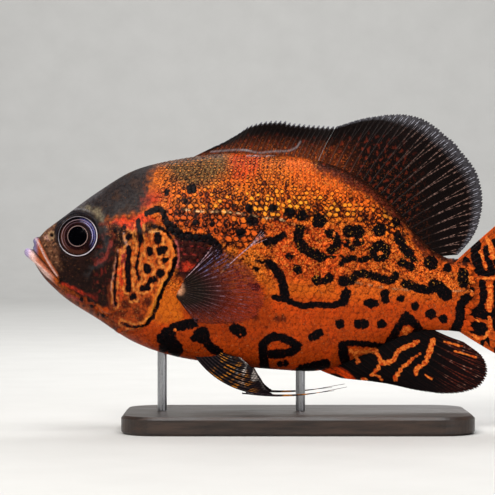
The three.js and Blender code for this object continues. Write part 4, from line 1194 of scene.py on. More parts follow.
def make_scales(name, side, roots, rng, material):
    count = len(roots)
    u, v, width = scale_shape()
    along_u = 0.5 + (u - 0.5) * (1 - 0.12 * v**2)
    at = flank_point(roots[:, 0], roots[:, 1])
    size = roots[:, 2] * (1 + 0.09 * rng.standard_normal(count))
    twist = rng.normal(0, 0.09, count)
    uneven = 1 + 0.25 * rng.standard_normal(count)
    raised = SCALE["rise"] * (0.18 + 0.82 * ramp(at[:, 2], -26, 6)) * uneven * size
    each = (roots[:, 0], roots[:, 1], size, np.cos(twist), np.sin(twist), raised)
    column = [value[:, None, None] for value in each]
    root_x, root_arc, size, turn_cos, turn_sin, raised = column
    lengthwise = (along_u - 0.5)[None] * SCALE["step"] * SCALE["long"] * size
    crosswise = (v * width)[None] * SCALE["row"] * SCALE["wide"] / 2 * size
    x = root_x + lengthwise * turn_cos - crosswise * turn_sin
    arc = root_arc + lengthwise * turn_sin + crosswise * turn_cos
    surface = flank_point(x.ravel(), arc.ravel()).reshape(x.shape + (3,))
    ahead = flank_point((x + 0.4).ravel(), arc.ravel()).reshape(surface.shape) - surface
    above = flank_point(x.ravel(), (arc + 0.4).ravel()).reshape(surface.shape) - surface
    normal = unit(np.cross(above, ahead))
    normal[normal[..., 1] > 0] *= -1
    lift = -SCALE["sink"] + (SCALE["sink"] + raised) * (u**0.8)[None]
    crown = 0.14 * (1 - v**2)[None] * np.sin(math.pi * u)[None] * size
    rim_drop = 0.14 * ramp(u, 0.9, 1.0)[None]
    top = surface + normal * (lift + crown - rim_drop)[..., None]
    under = (surface - normal * 0.75)[:, SCALE["rows"] // 2, SCALE["columns"] // 2]
    quads, tris, per = scale_faces(count)
    points = np.concatenate([top.reshape(count, per - 1, 3), under[:, None]], axis=1).reshape(-1, 3)

    fields = paint(points, side)
    own = np.repeat(paint(at, side)["mark"], per)
    loose = 0.35 * np.repeat(fields["coarse"].reshape(count, per).mean(1), per)
    strayed = np.repeat(rng.normal(0, 0.7, count), per)
    fields["mark"] = fields["mark"] * (1 - loose) + own * loose + strayed * loose
    rim = np.sqrt(((u - 0.66) / 0.4) ** 2 + (v * 0.92) ** 2).ravel()
    fields["edge"] = np.tile(np.append(np.clip(rim, 0, 1.4), 1.4), count)
    fields["chance"] = np.repeat(rng.uniform(0, 1, count), per)
    points, faces = on_side(side, points, [quads, tris])
    piece = new_mesh(name, lifted(points), faces, material, fields)
    add_scale_map(piece, side, roots, u, v)
    return piece


def add_scale_map(piece, side, roots, u, v):
    """Gives each scale a patch of the map at its root's place on the flank, laid flat."""
    start = MAP["left"] if side == LEFT else MAP["right"]
    along_map = start + MAP["long"] * (roots[:, 0] - MAP["x"][0]) / (MAP["x"][1] - MAP["x"][0])
    up_map = MAP["low"] + MAP["high"] * (roots[:, 1] - MAP["arc"][0]) / (MAP["arc"][1] - MAP["arc"][0])
    centres = np.stack([along_map, up_map], -1)
    local = np.stack([np.append(u.ravel(), 0.5) - 0.5, np.append(v.ravel(), 0) / 2], -1) * MAP["patch"]
    spread = (centres[:, None] + local[None]).reshape(-1, 2)
    corners = np.empty(len(piece.data.loops), np.int32)
    piece.data.loops.foreach_get("vertex_index", corners)
    layer = piece.data.uv_layers.new(name="OFBake")
    layer.data.foreach_set("uv", spread[corners].astype(np.float32).ravel())


def make_coats(material):
    """The scales of each side in pieces, from the belly up to the back."""
    coats = []
    for word, side, seed in (("left", LEFT, 11), ("right", RIGHT, 12)):
        rng = np.random.default_rng(seed)
        roots = scale_places(rng)
        for part, (low, high) in COAT_BANDS.items():
            mine = (roots[:, 1] >= low) & (roots[:, 1] < high)
            coats.append(make_scales(f"scales_{part}_{word}", side, roots[mine], rng, material))
    return coats


# Fins

DORSAL_BASE = [(-55, 60.3), (-24, 61), (12, 57.2)]
SPINY_MARGIN = [(-44, 65.4), (-32.2, 72.4), (-24.5, 77.2), (-10, 79), (5, 77.2), (21.5, 76.2)]
SOFT_BASE = [(12.1, 57.1), (36, 47.3), (52, 34), (66, 16.8), (80, 4.8)]
SOFT_MARGIN = [
    (21.6, 76.2), (37, 80.8), (52, 82.8), (66, 81.4), (78.5, 73.8), (91, 61.8), (99.2, 50), (102, 37.5),
    (100.4, 24), (95.8, 14.2), (88.4, 5.8),
]
SHEATH_FOLD = [
    (-47, 62.5), (-39, 63.2), (-28.6, 63.5), (-21.4, 61.9), (-12.2, 62.8), (-5, 62.9), (0, 65), (2, 68),
]
ANAL_BASE = [(13, -57.4), (36, -49.5), (52, -41.3), (66, -36.4), (77, -35.8)]
ANAL_MARGIN = [
    (24.5, -62), (48, -64.8), (70, -69.2), (88, -70), (100, -66.6), (104.8, -58.5), (102, -50), (91.6, -42),
]
TAIL = {
    "x": 85.5, "top": 0.4, "bottom": -33.8, "centre": (95, -14.5), "radius": 55, "upper": 60, "lower": -53
}
TAIL_BULGE = (1, -2)
PECTORAL = {
    "base": [(-63.5, -22.2, -9.8), (-65.2, -22.2, -16.8)],
    "bends": [
        (-54.8, -26.6, 0.6), (-48.6, -28.5, -2.6), (-43.7, -30, -8.2), (-41, -30.5, -15.2),
        (-44, -29.5, -21.6),
        (-52, -27.4, -23.8), (-60.2, -25.2, -24),
    ],
    "tips": [
        (-45.5, -28.5, 12.2), (-33.5, -31.5, 5.4), (-23.5, -33.5, -4.5), (-17.8, -34.5, -17),
        (-23.5, -32, -27.8),
        (-39, -28.5, -31), (-55, -25.5, -30.8),
    ],
    "streamers": [
        [(-41.5, -29.5, -4), (-36.3, -31.5, 1.2), (-31.5, -33, 5.6), (-26.6, -33.6, 9.8), end]
        for end in (
            (-19.6, -33.6, 18.6), (-18.4, -33.8, 18), (-17.6, -33.8, 16.4), (-16.8, -33.6, 14.4),
            (-18.2, -34, 17)
        )
    ],
    "thick": 0.3,
}
PELVIC = {
    "base": [(-60, -5.5, -43), (-47, -6.5, -43)],
    "bends": [
        (-45.5, -12.5, -70), (-41.5, -13.5, -66), (-39, -14.5, -61), (-38.5, -15, -55), (-41, -15, -48.5)
    ],
    "tips": [
        (-12, -16, -70.6), (-16.8, -16.6, -67), (-20.8, -17.6, -61.4), (-24.5, -18, -55.6),
        (-31, -17, -49.6)
    ],
    "streamers": [
        [(-30, -14.5, -69.3), (-14, -16, -70.6), (4, -15.5, -70), (27, -13, -66)],
        [(-28, -14.9, -68.6), (-14, -16.2, -70), (2, -15.6, -69.8), (20, -13.6, -68)],
    ],
    "thick": 0.42,
}


def middle_fin(base, margin, sway, waves, bow, sink=4.0):
    """Places on a fin in the middle plane, from its base line to its margin."""
    base, margin = smooth_line(base, 400), smooth_line(margin, 400)
    shares = np.linspace(0, 1, 400)

    def at(line, share):
        return np.stack([np.interp(share, shares, line[:, k]) for k in (0, 1)], -1)

    def place(share, out):
        start, end = at(base, share), at(margin, share)
        ray = end - start
        length = np.linalg.norm(ray, axis=-1, keepdims=True)
        from_root = -sink / length + (1 + sink / length) * out[..., None]
        bend = bow * length * np.sin(math.pi * np.clip(out, 0, 1))[..., None]
        spot = start + ray * from_root + np.stack([-ray[..., 1], ray[..., 0]], -1) / length * bend
        y = sway * out**2 * np.sin(share * math.pi * waves)
        return np.stack([spot[..., 0], y, spot[..., 1]], -1)

    return place


def bezier(a, b, c, t):
    return a * (1 - t) ** 2 + b * 2 * t * (1 - t) + c * t**2


def tail_fin_place(share, out):
    angle = np.radians(TAIL["upper"] + (TAIL["lower"] - TAIL["upper"]) * share)
    start = np.stack(
        [np.full(share.shape, TAIL["x"]), TAIL["top"] + (TAIL["bottom"] - TAIL["top"]) * share], -1
    )
    end = np.array(TAIL["centre"]) + TAIL["radius"] * np.stack([np.cos(angle), np.sin(angle)], -1)
    turn = start + (end - start) * 0.42
    turn[..., 1] += TAIL_BULGE[0] + (TAIL_BULGE[1] - TAIL_BULGE[0]) * share
    spot = bezier(start, turn, end, out[..., None])
    y = 1.6 * out**2 * np.sin(share * math.pi * 2)
    return np.stack([spot[..., 0], y, spot[..., 1]], -1)


def paired_fin(shape):
    """Places on the left fin of a pair."""
    count = 200
    base = np.array([np.linspace(a, b, count) for a, b in zip(*shape["base"])]).T
    bends, tips = smooth_line(shape["bends"], count), smooth_line(shape["tips"], count)
    shares = np.linspace(0, 1, count)

    def place(share, out):
        a, b, c = (
            np.stack(
                [np.interp(share, shares, line[:, k]) for k in range(3)], -1
            ) for line in (base, bends, tips)
        )
        return bezier(a, b, c, out[..., None])

    return place


def fin_sheet(name, place, look, material, paint_fin, side=LEFT):
    """A closed sheet: a thin web with raised rays that branch on their way to the margin."""
    rays, per_ray, rows = look["rays"], look["per_ray"], look["rows"]
    rng = np.random.default_rng(look["seed"])
    share = np.linspace(0, 1, rays * per_ray + 1)[:, None] * np.ones(rows + 1)
    out = np.ones((rays * per_ray + 1, 1)) * np.linspace(0, 1, rows + 1)[None, :] ** 0.85
    number = np.clip((share * rays).astype(int), 0, rays - 1)
    own = share * rays - number - 0.5
    split = ramp(out, look["split"], 1.0) * 0.25
    second = ramp(out, 0.5 + look["split"] / 2, 1.0) * 0.11
    nearest = np.abs(np.abs(own) - split)
    nearest = np.abs(nearest - second) if look.get("twice") else nearest
    lengths = 1 + look["ragged"] * rng.uniform(-1, 0.4, rays)[number]
    fringe = look["fringe"] * ramp(out, 0.8, 1.0) * (1 - ramp(nearest, 0.0, 0.16))
    web = -look["notch"] * ramp(out, 0.75, 1.0) * ramp(nearest, 0.03, 0.2)
    reach = np.clip(out * (1 + (lengths - 1) * ramp(out, 0.5, 1)) + (fringe + web) * out, 0, 1.15)
    centre = place(share, reach)
    step_share, step_out = np.gradient(centre, axis=0), np.gradient(centre, axis=1)
    normal = unit(np.cross(step_share, step_out))
    width = np.linalg.norm(step_share, axis=-1) * per_ray
    away = nearest * width
    radius = look["ray"] * (1 - 0.62 * out)
    ray = np.sqrt(np.clip(1 - (away / radius) ** 2, 0, 1))
    half = look["web"] + (look["root"] - look["web"]) * (1 - out) ** 3
    half = half + look["height"] * (1 - 0.55 * out) * ray
    half = half * (1 - 0.5 * ramp(out, 0.93, 1.0))
    faces_front = grid_faces(*share.shape)
    size = share.size
    points = np.concatenate(
        [
            (centre + normal * half[..., None]).reshape(-1, 3),
            (centre - normal * half[..., None]).reshape(-1, 3)
        ]
    )
    rim = rim_faces(*share.shape, size)
    lengthwise = reach * np.linalg.norm(
        place(share, np.ones_like(share)) - place(share, np.zeros_like(share)), axis=-1
    )
    values = {"share": share, "out": out, "ray": ray, "length": lengthwise, "across": share * rays}
    values = {key: np.tile(value.ravel(), 2) for key, value in values.items()}
    values.update(paint_fin(points[:, 0], points[:, 2], values))
    faces = [faces_front[:, ::-1], faces_front + size, rim]
    points, faces = on_side(side, points, faces)
    return new_mesh(name, lifted(points), faces, material, values)


def rim_faces(rows, columns, size):
    """Faces that close the edge between a sheet's two sides."""
    top = [*range(columns), *[columns - 1 + r * columns for r in range(1, rows)]]
    low = [(rows - 1) * columns + c for c in range(columns - 2, -1, -1)]
    low += [r * columns for r in range(rows - 2, 0, -1)]
    loop = np.array(top + low)
    following = np.roll(loop, -1)
    return np.stack([loop, following, following + size, loop + size], -1)


def thread(name, points, thick, material, fields_of, side=LEFT, steps=40, sides=10):
    """A single long ray that narrows to its tip."""
    path = smooth_line(points, steps)
    forward = unit(np.gradient(path, axis=0))
    across = unit(np.cross(forward, [0, 1, 0]))
    outward = np.cross(forward, across)
    share = np.linspace(0, 1, steps)
    radius = thick * (1 - 0.75 * share)
    angle = np.linspace(0, 2 * math.pi, sides, endpoint=False)
    ring = path[:, None] + radius[:, None, None] * (
        across[:, None] * np.cos(angle)[None, :, None] + outward[:, None] * np.sin(angle)[None, :, None]
    )
    points = np.concatenate([ring.reshape(-1, 3), path[:1], path[-1:]])
    turn = np.arange(sides)
    caps = [fan(steps * sides, turn, flip=True), fan(steps * sides + 1, turn + (steps - 1) * sides)]
    faces = [grid_faces(steps, sides, closed=True), *caps]
    out = np.concatenate([np.repeat(share, sides), [0, 1]])
    values = {
        "share": np.zeros(len(out)), "out": out, "ray": np.ones(len(out)), "length": out * 30,
        "across": out * 0
    }
    values.update(fields_of(points[:, 0], points[:, 2], values))
    points, faces = on_side(side, points, faces)
    return new_mesh(name, lifted(points), faces, material, values)


def fin_fields(x, tint, bone, **more):
    """A fin's fields: colours of web and rays, and what is given besides. Marks are far unless given."""
    bare, far = np.zeros(x.shape), np.full(x.shape, NO_MARK)
    return {"tint": tint, "bone": bone, "tip": bare, "speck": bare, "mark": far, "glow": far, **more}


def dorsal_paint(x, z, v):
    """Dark brown web, redder near the base in front, with pale tips."""
    out = v["out"]
    tint = flat(x, "#0e0706")
    near_base = 1 - ramp(out, 0.12, 0.75)
    front = 1 - ramp(x, 12, 40)
    tint = cover(tint, "#6e3014", near_base * front * (0.75 + 0.25 * ripple(x, z, 41, 7)))
    blush = ramp(ripple(x, z, 58, 3.5), 0.3, 0.8) * (1 - ramp(x, 50, 75)) * (1 - ramp(out, 0.5, 0.8))
    tint = cover(tint, "#6a2414", 0.75 * blush)
    tip = ramp(out, 0.93 - 0.1 * ramp(x, 40, 60), 0.99)
    rear = ramp(x, 46, 80) * ramp(out, 0.25, 0.5)
    bone = cover(flat(x, "#1a0f0c"), "#5a3a2c", 0.8 * near_base * front)
    bone = cover(bone, "#8a6a60", 0.85 * rear * ramp(ripple(x, z, 44, 5), -0.7, 0.3))
    bone = cover(bone, "#c4c6d2", tip)
    tint = cover(tint, "#5a585e", 0.6 * tip)
    fold = stroke_mask(x, z, SHEATH_FOLD, 0.7, 0.5) * (0.35 + 0.65 * ramp(ripple(x, z, 46, 14), -0.4, 0.4))
    tint, bone = cover(tint, "#a29fa4", fold), cover(bone, "#a29fa4", fold)
    speck = near_base * (0.25 + 0.75 * front) * (1 - ramp(x, 55, 80)) * (1 - fold)
    return fin_fields(x, tint, bone, tip=tip, speck=speck)


def anal_paint(x, z, v):
    """Black with orange streaks in front and dark red, pale and orange rays behind."""
    out = v["out"]
    tint = flat(x, "#0b0708")
    rear = ramp(x, 74, 90)
    tint = cover(tint, "#1c0a09", 0.6 * rear)
    bone = cover(flat(x, "#1c0d0b"), "#5c2418", rear * ramp(out, 0.1, 0.3))
    bone = cover(bone, "#c08a78", 0.7 * rear * ramp(ripple(x, z, 43, 6), 0.35, 0.9))
    glow = distance_to_marks(x, z, GLOW_STROKES, GLOW_SPOTS, MARK_SEEDS["glow"])
    front = stroke_mask(x, z, [(14, -58), (22, -57.5), (27, -60), (31, -64)], 3.2, 1.0)
    tint = cover(tint, "#e0450c", front)
    return fin_fields(x, tint, bone, glow=glow)


def tail_paint(x, z, v):
    """Orange and black bars at the root, then dark with reddish rays."""
    out = v["out"]
    outer = ramp(x, 110, 128)
    tint = cover(flat(x, "#c04a12"), "#140a09", outer)
    bars = ripple(x * 1.5, z * 0.5, 45, 8)
    mark = distance_to_marks(x, z, BLACK_STROKES + TAIL_STROKES, BLACK_SPOTS, MARK_SEEDS["black"])
    mark = np.minimum(mark, 2.0 + 6 * bars - 4.5 * ramp(x, 108, 124))
    bone = cover(flat(x, "#7a3212"), "#5c3a2e", outer)
    bone = cover(bone, "#a9a4b0", ramp(out, 0.95, 1.0) * 0.7)
    glow = distance_to_marks(x, z, GLOW_STROKES + TAIL_GLOW, GLOW_SPOTS, MARK_SEEDS["glow"])
    return fin_fields(x, tint, bone, speck=1 - outer, mark=mark, glow=glow)


def pectoral_paint(x, z, v):
    """Purple-grey clear web, fleshy and dark-spotted at the root, red in its middle. Painted shadow deepens
    the dark base, and the root's knuckle carries a painted highlight.
    """
    out, share = v["out"], v["share"]
    tint = flat(x, "#3d1d1c")
    tint = cover(tint, "#7c2620", ramp(out, 0.4, 0.8) * (1 - ramp(np.abs(share - 0.45), 0.1, 0.45)))
    tint = cover(tint, "#1e1418", 0.85 * (1 - ramp(share, 0.05, 0.3)) * ramp(out, 0.25, 0.6))
    # Painted shadow over the fin's own dark pigment darkens its base.
    tint = cover(tint, "#14100c", 0.95 * (1 - ramp(out, 0.25, 0.5)))
    tint = cover(tint, "#5a544c", 0.6 * (1 - ramp(out, 0.3, 0.5)) * ramp(ripple(x, z, 59, 1.6), 0.9, 1.3))
    # Painted highlight: the pale flesh-pink root, where the fin's knuckle catches the light, over its fleshy
    # colour.
    root = (1 - ramp(out, 0.02, 0.1)) * (1 - ramp(share, 0.6, 0.9))
    tint = cover(tint, "#e0a078", root)
    bone = cover(flat(x, "#563230"), "#8e6e78", ramp(ripple(x, z, 47, 6), 0.1, 0.9))
    bone = cover(
        bone, "#7c7cab",
        (1 - ramp(share, 0.14, 0.3)) * ramp(out, 0.3, 0.5) * ramp(ripple(x, z, 60, 5), -0.6, 0.4)
    )
    # The same painted shadow darkens the rays near the base.
    bone = cover(bone, "#2e2018", 0.9 * (1 - ramp(out, 0.25, 0.5)))
    bone = cover(bone, "#c9a2ac", (1 - ramp(share, 0.02, 0.06)) * ramp(out, 0.1, 0.3))
    bone = cover(bone, "#e0a078", root)
    clear = ramp(out, 0.25, 0.7) * 0.68
    mark = np.where(out < 0.4, 1.1 * np.abs(ripple(x, z, 48, 3)) - 0.05 + 2 * ramp(out, 0.2, 0.4), NO_MARK)
    return fin_fields(x, tint, bone, clear=clear, mark=mark)


def pelvic_paint(x, z, v):
    """Black web with gold, orange and white lights on the rays."""
    out, share = v["out"], v["share"]
    tint = flat(x, "#0d0a0d")
    bone = flat(x, "#2b2024")
    band = ramp(out, 0.3, 0.42) * (1 - ramp(out, 0.72, 0.95))
    bone = cover(bone, "#c77a22", band * ramp(ripple(x, z, 49, 6), -0.2, 0.5))
    bone = cover(
        bone, "#e6d8cf", ramp(out, 0.6, 0.8) * ramp(ripple(x, z, 51, 7), -0.1, 0.6) * ramp(share, 0.15, 0.4)
    )
    return fin_fields(x, tint, bone)


def fin_material(name, clear=False):
    shader = Shader(name)
    ray = shader.field("ray")
    web = shader.mix(
        shader.ramp(shader.noise(1.3, 4), 0.4, 0.7, 0, 0.6), shader.colour_field("tint"), "#050304"
    )
    flecks = shader.times(shader.ramp(shader.noise(1.0, 3), 0.55, 0.68), shader.field("speck"))
    web = shader.mix(flecks, web, "#b4561f")
    joints = shader.node("ShaderNodeTexWave", {
        "Vector": shader.node(
            "ShaderNodeCombineXYZ", {"X": shader.field("length"), "Y": shader.field("across")}
        ).outputs[0],
        "Scale": 0.16, "Distortion": 1.6, "Detail": 2.0, "Detail Scale": 1.4,
    }).outputs["Fac"]
    bone = shader.mix(shader.ramp(joints, 0.3, 0.8, 0.0, 0.55), shader.colour_field("bone"), web)
    colour = shader.mix(shader.ramp(ray, 0.25, 0.85), web, bone)
    colour = shader.mix(shader.times(shader.field("tip"), shader.ramp(ray, 0.5, 0.9)), colour, "#b0b1c0")
    colour = marked_colour(shader, colour, 0.8)
    relief = shader.bump(shader.noise(0.6, 3), 0.05)
    inputs = {"Base_Color": colour, "Roughness": 0.42, "Normal": relief, "Specular_IOR_Level": SHEEN}
    if clear:
        web_clear = shader.times(shader.field("clear"), shader.ramp(ray, 0.1, 0.8, 1.0, 0.25))
        inputs["Alpha"] = shader.minus(1.0, web_clear)
    return shader.finish(**inputs)


FIN_LOOKS = {
    "spiny": {
        "rays": 13, "per_ray": 20, "rows": 48, "seed": 61, "split": 2.0, "ray": 0.5, "height": 0.34,
        "web": 0.2, "root": 1.5, "notch": 0.05, "fringe": 0.025, "ragged": 0.02,
    },
    "soft": {
        "rays": 21, "per_ray": 18, "rows": 72, "seed": 62, "split": 0.35, "ray": 0.42, "height": 0.3,
        "web": 0.18, "root": 1.7, "notch": 0.02, "fringe": 0.012, "ragged": 0.008, "twice": True,
    },
    "anal": {
        "rays": 19, "per_ray": 16, "rows": 56, "seed": 63, "split": 0.35, "ray": 0.42,
        "height": 0.28, "web": 0.18, "root": 1.9, "notch": 0.02, "fringe": 0.012, "ragged": 0.01,
        "twice": True,
    },
    "tail": {
        "rays": 17, "per_ray": 18, "rows": 60, "seed": 64, "split": 0.3, "ray": 0.5, "height": 0.34,
        "web": 0.22, "root": 3.2, "notch": 0.015, "fringe": 0.01, "ragged": 0.01, "twice": True,
    },
    "pectoral": {
        "rays": 17, "per_ray": 18, "rows": 50, "seed": 65, "split": 0.2, "ray": 0.22, "height": 0.14,
        "web": 0.1, "root": 1.0, "notch": 0.04, "fringe": 0.02, "ragged": 0.02, "twice": True,
    },
    "pelvic": {
        "rays": 9, "per_ray": 18, "rows": 50, "seed": 66, "split": 0.3, "ray": 0.45, "height": 0.3,
        "web": 0.18, "root": 1.0, "notch": 0.01, "fringe": 0.0, "ragged": 0.004, "twice": True,
    },
}


# Eyes

PUPIL = 5.2
IRIS_DEPTH = 5.0
CORNEA_RISE = 3.0
CORNEA_THICK = 0.3
EYE_RINGS, EYE_TURNS = 48, 96


def eye_grid(height):
    """A round sheet over the left eye's place, on the slope of the head and raised by a height."""
    radius = EYE["radius"]
    r = np.linspace(0, 1, EYE_RINGS + 1)[1:, None] * np.ones(EYE_TURNS)
    angle = np.ones((EYE_RINGS, 1)) * np.linspace(0, 2 * math.pi, EYE_TURNS, endpoint=False)[None]
    x = EYE["x"] + radius * r * np.cos(angle)
    z = EYE["z"] + radius * r * np.sin(angle)
    facing = eye_axis()
    base = np.stack([x, side_of_body(x, z), z], -1)
    points = base + facing * height(r * radius)[..., None]
    centre = np.array([EYE["x"], side_of_body(np.array(EYE["x"]), np.array(EYE["z"])), EYE["z"]])
    middle = centre + facing * height(np.zeros(1))[0]
    return np.concatenate([points.reshape(-1, 3), [middle]]), r, angle


def eye_axis():
    """The way the left eye faces: square to the side of the head."""
    step = 0.5
    x, z = EYE["x"], EYE["z"]

    def slope(dx, dz):
        ends = [float(side_of_body(np.array(x + k * dx), np.array(z + k * dz))) for k in (1, -1)]
        return (ends[0] - ends[1]) / (2 * step)

    return unit(np.array([slope(step, 0), -1.0, slope(0, step)]))


def iris_height(r):
    """The iris lies under the cornea, and the pupil is a little deeper."""
    dome = 1.0 * np.sqrt(np.clip(1 - (r / EYE["radius"]) ** 2, 0, 1))
    return dome - 0.75 + 0.2 * bell(r, PUPIL + 0.3, 0.4) - 0.6 * (1 - ramp(r, PUPIL - 0.7, PUPIL))


def cornea_height(r):
    return -0.35 + CORNEA_RISE * np.clip(1 - (r / (EYE["radius"] + 0.1)) ** 2, 0, 1) ** 0.75


def cornea_floor(r):
    return cornea_height(r) - CORNEA_THICK


def eye_sheet(height):
    """The front of an eye's part: its corners, faces, and fields r from the middle and dx, dz as shares."""
    points, r, angle = eye_grid(height)
    faces = [grid_faces(EYE_RINGS, EYE_TURNS, closed=True), fan(EYE_RINGS * EYE_TURNS, np.arange(EYE_TURNS))]
    across, up = r * np.cos(angle), r * np.sin(angle)
    values = {"r": r * EYE["radius"], "dx": across, "dz": up}
    return points, faces, {key: np.append(value.ravel(), 0) for key, value in values.items()}


def make_iris(side, material):
    """The iris and the pupil, closed by a wall and a flat back."""
    points, faces, fields = eye_sheet(iris_height)
    start = len(points)
    edge = (EYE_RINGS - 1) * EYE_TURNS + np.arange(EYE_TURNS)
    low_edge = start + np.arange(EYE_TURNS)
    behind = eye_axis() * -IRIS_DEPTH
    faces.append(np.stack([edge, low_edge, np.roll(low_edge, -1), np.roll(edge, -1)], -1))
    faces.append(fan(start + EYE_TURNS, low_edge, flip=True))
    points = np.concatenate([points, points[edge] + behind, [points[-1] + behind]])
    fields = {key: np.append(value, np.full(EYE_TURNS + 1, value.max())) for key, value in fields.items()}
    return eye_piece("iris", side, points, faces, material, fields)


def make_cornea(side, material):
    """A clear shell over the iris, closed along its edge."""
    points, faces, fields = eye_sheet(cornea_height)
    start = len(points)
    edge = (EYE_RINGS - 1) * EYE_TURNS + np.arange(EYE_TURNS)
    inner, _, _ = eye_grid(cornea_floor)
    faces.append(grid_faces(EYE_RINGS, EYE_TURNS, closed=True, start=start, flip=True))
    faces.append(fan(start + EYE_RINGS * EYE_TURNS, start + np.arange(EYE_TURNS), flip=True))
    faces.append(np.stack([edge, start + edge, start + np.roll(edge, -1), np.roll(edge, -1)], -1))
    fields = {key: np.append(value, value) for key, value in fields.items()}
    return eye_piece("cornea", side, np.concatenate([points, inner]), faces, material, fields)


def eye_piece(name, side, points, faces, material, fields):
    word = "left" if side == LEFT else "right"
    points, faces = on_side(side, points, faces)
    return new_mesh(f"{name}_{word}", lifted(points), faces, material, fields)


def iris_material():
    shader = Shader("iris")
    r, dx, dz = shader.field("r"), shader.field("dx"), shader.field("dz")
    streaks = shader.noise(0.7, 4, 0.6)

    def band(low, high, soft=0.25):
        inner = shader.ramp(r, low - soft, low + soft)
        return shader.times(inner, shader.ramp(r, high - soft, high + soft, 1, 0))

    def layer(under, mask, strength, colour):
        return shader.mix(shader.times(mask, strength), under, colour)

    rear = shader.ramp(shader.plus(dx, shader.times(dz, 0.45)), 0.3, 0.85)
    front_top = shader.ramp(shader.minus(dz, dx), -0.35, 0.4)
    front_low = shader.ramp(shader.plus(dx, dz), 0.1, -0.7)
    ring = shader.mix(streaks, "#070405", "#1c0a0a")
    ring = layer(ring, shader.times(band(6.4, 7.6, 0.5), shader.ramp(streaks, 0.45, 0.65)), 0.3, "#4a1c1a")
    ring = shader.mix(shader.ramp(r, 8.6, 9.6), ring, "#0a0709")
    ring = layer(ring, shader.times(band(7.6, 9.8, 0.6), front_low), 0.5, "#5a3226")
    # Painted reflection: a blue crescent with pale arcs on the rear side of the iris, and pale arcs at its
    # front top.
    reflected_blue = shader.mix(shader.ramp(streaks, 0.42, 0.6), "#100f26", "#47458c")
    ring = layer(ring, shader.times(band(7.7, 10.2, 0.4), rear), 0.95, reflected_blue)
    ring = layer(ring, shader.times(band(8.05, 8.3, 0.12), rear), 0.85, "#d5cbe2")
    ring = layer(ring, shader.times(band(9.3, 9.5, 0.12), rear), 0.7, "#9a96cc")
    ring = layer(ring, shader.times(band(8.9, 9.15, 0.12), front_top), 0.7, "#b79aa2")
    ring = layer(ring, shader.times(band(7.55, 7.75, 0.12), front_top), 0.5, "#8a6a78")
    ring = layer(ring, band(PUPIL + 0.2, PUPIL + 0.45, 0.12), 0.85, "#a98b86")
    colour = shader.mix(shader.ramp(r, PUPIL - 0.15, PUPIL + 0.1), "#020204", ring)
    relief = shader.bump(streaks, 0.12)
    gloss = shader.ramp(r, PUPIL - 0.2, PUPIL + 0.1, 0.0, 0.03)
    return shader.finish(Base_Color=colour, Roughness=0.35, Normal=relief, Specular_IOR_Level=gloss)


def cornea_material():
    """Clear, with a silvery ring where it meets the socket."""
    shader = Shader("cornea")
    r, broken = shader.field("r"), shader.noise(2.2, 3, 0.6)
    low = shader.minus(shader.times(shader.field("dx"), 0.45), shader.field("dz"))
    bright = shader.times(shader.ramp(low, -0.7, 0.5, 0.25, 1.0), shader.ramp(broken, 0.3, 0.6, 0.55, 1.0))
    silver = shader.mix(bright, "#2a2228", "#ddd2da")
    colour = shader.mix(shader.ramp(r, 10.45, 10.6), "#0c080c", silver)
    colour = shader.mix(shader.ramp(r, 10.85, 11.0), colour, "#120c0e")
    alpha = shader.ramp(r, 10.2, 10.45, 0.03, 0.95)
    return shader.finish(Base_Color=colour, Roughness=0.05, Alpha=alpha, Specular_IOR_Level=0.09)


# The stand

def wood_material():
    shader = Shader("stand_wood")
    stretched = shader.node(
        "ShaderNodeMapping", {"Vector": shader.place(), "Scale": (0.12, 1.0, 1.0)}
    ).outputs[0]
    grain = shader.noise(3.0, 6, 0.6, place=stretched)
    pores = shader.noise(0.5, 2, 0.5, place=stretched)
    colour = shader.mix(shader.ramp(grain, 0.3, 0.7), "#221a16", "#3d2d24")
    colour = shader.mix(shader.ramp(pores, 0.6, 0.72, 0, 0.5), colour, "#120d0b")
    relief = shader.bump(pores, 0.05)
    return shader.finish(Base_Color=colour, Roughness=shader.ramp(grain, 0.3, 0.7, 0.35, 0.5), Normal=relief)


def steel_material():
    shader = Shader("stand_steel")
    stretched = shader.node(
        "ShaderNodeMapping", {"Vector": shader.place(), "Scale": (1.0, 1.0, 0.04)}
    ).outputs[0]
    brushed = shader.noise(0.25, 4, 0.7, place=stretched)
    colour = shader.mix(brushed, "#8b8c8f", "#c2c3c6")
    relief = shader.bump(brushed, 0.02)
    return shader.finish(
        Base_Color=colour, Metallic=1.0, Roughness=shader.ramp(brushed, 0.3, 0.7, 0.22, 0.4), Normal=relief
    )


# Room

ROOM = {"depth": 3600.0, "height": 3000.0, "curve": 900.0, "colour": (0.9, 0.93, 1.0, 1), "glow": 0.1}


def add_light(name, place, aim, size, power, colour=(1, 1, 1)):
    light = bpy.data.lights.new(name, "AREA")
    light.size, light.energy, light.color = size, power, colour
    lamp = bpy.data.objects.new(name, light)
    lamp.location = place
    lamp.rotation_euler = (Vector(aim) - Vector(place)).to_track_quat("-Z", "Y").to_euler()
    bpy.context.collection.objects.link(lamp)


def make_floor():
    """A pale sheet that curves up into a wall far behind the model."""
    shader = Shader("floor")
    colour = shader.mix(shader.noise(60, 3), "#c3c2bf", "#cfcecb")
    floor_material = shader.finish(Base_Color=colour, Roughness=0.8)
    depth, height, curve = ROOM["depth"], ROOM["height"], ROOM["curve"]
    profile = [(-depth, 0.0)]
    for angle in np.linspace(0, math.pi / 2, 24):
        profile.append((depth - curve + curve * math.sin(angle), curve - curve * math.cos(angle)))
    profile.append((depth, height))
    profile = np.array(profile)
    wide = np.linspace(-depth, depth, 13)
    points = np.array([[x, y, z] for y, z in profile for x in wide])
    floor = new_mesh("floor", points, grid_faces(len(profile), len(wide)), floor_material)


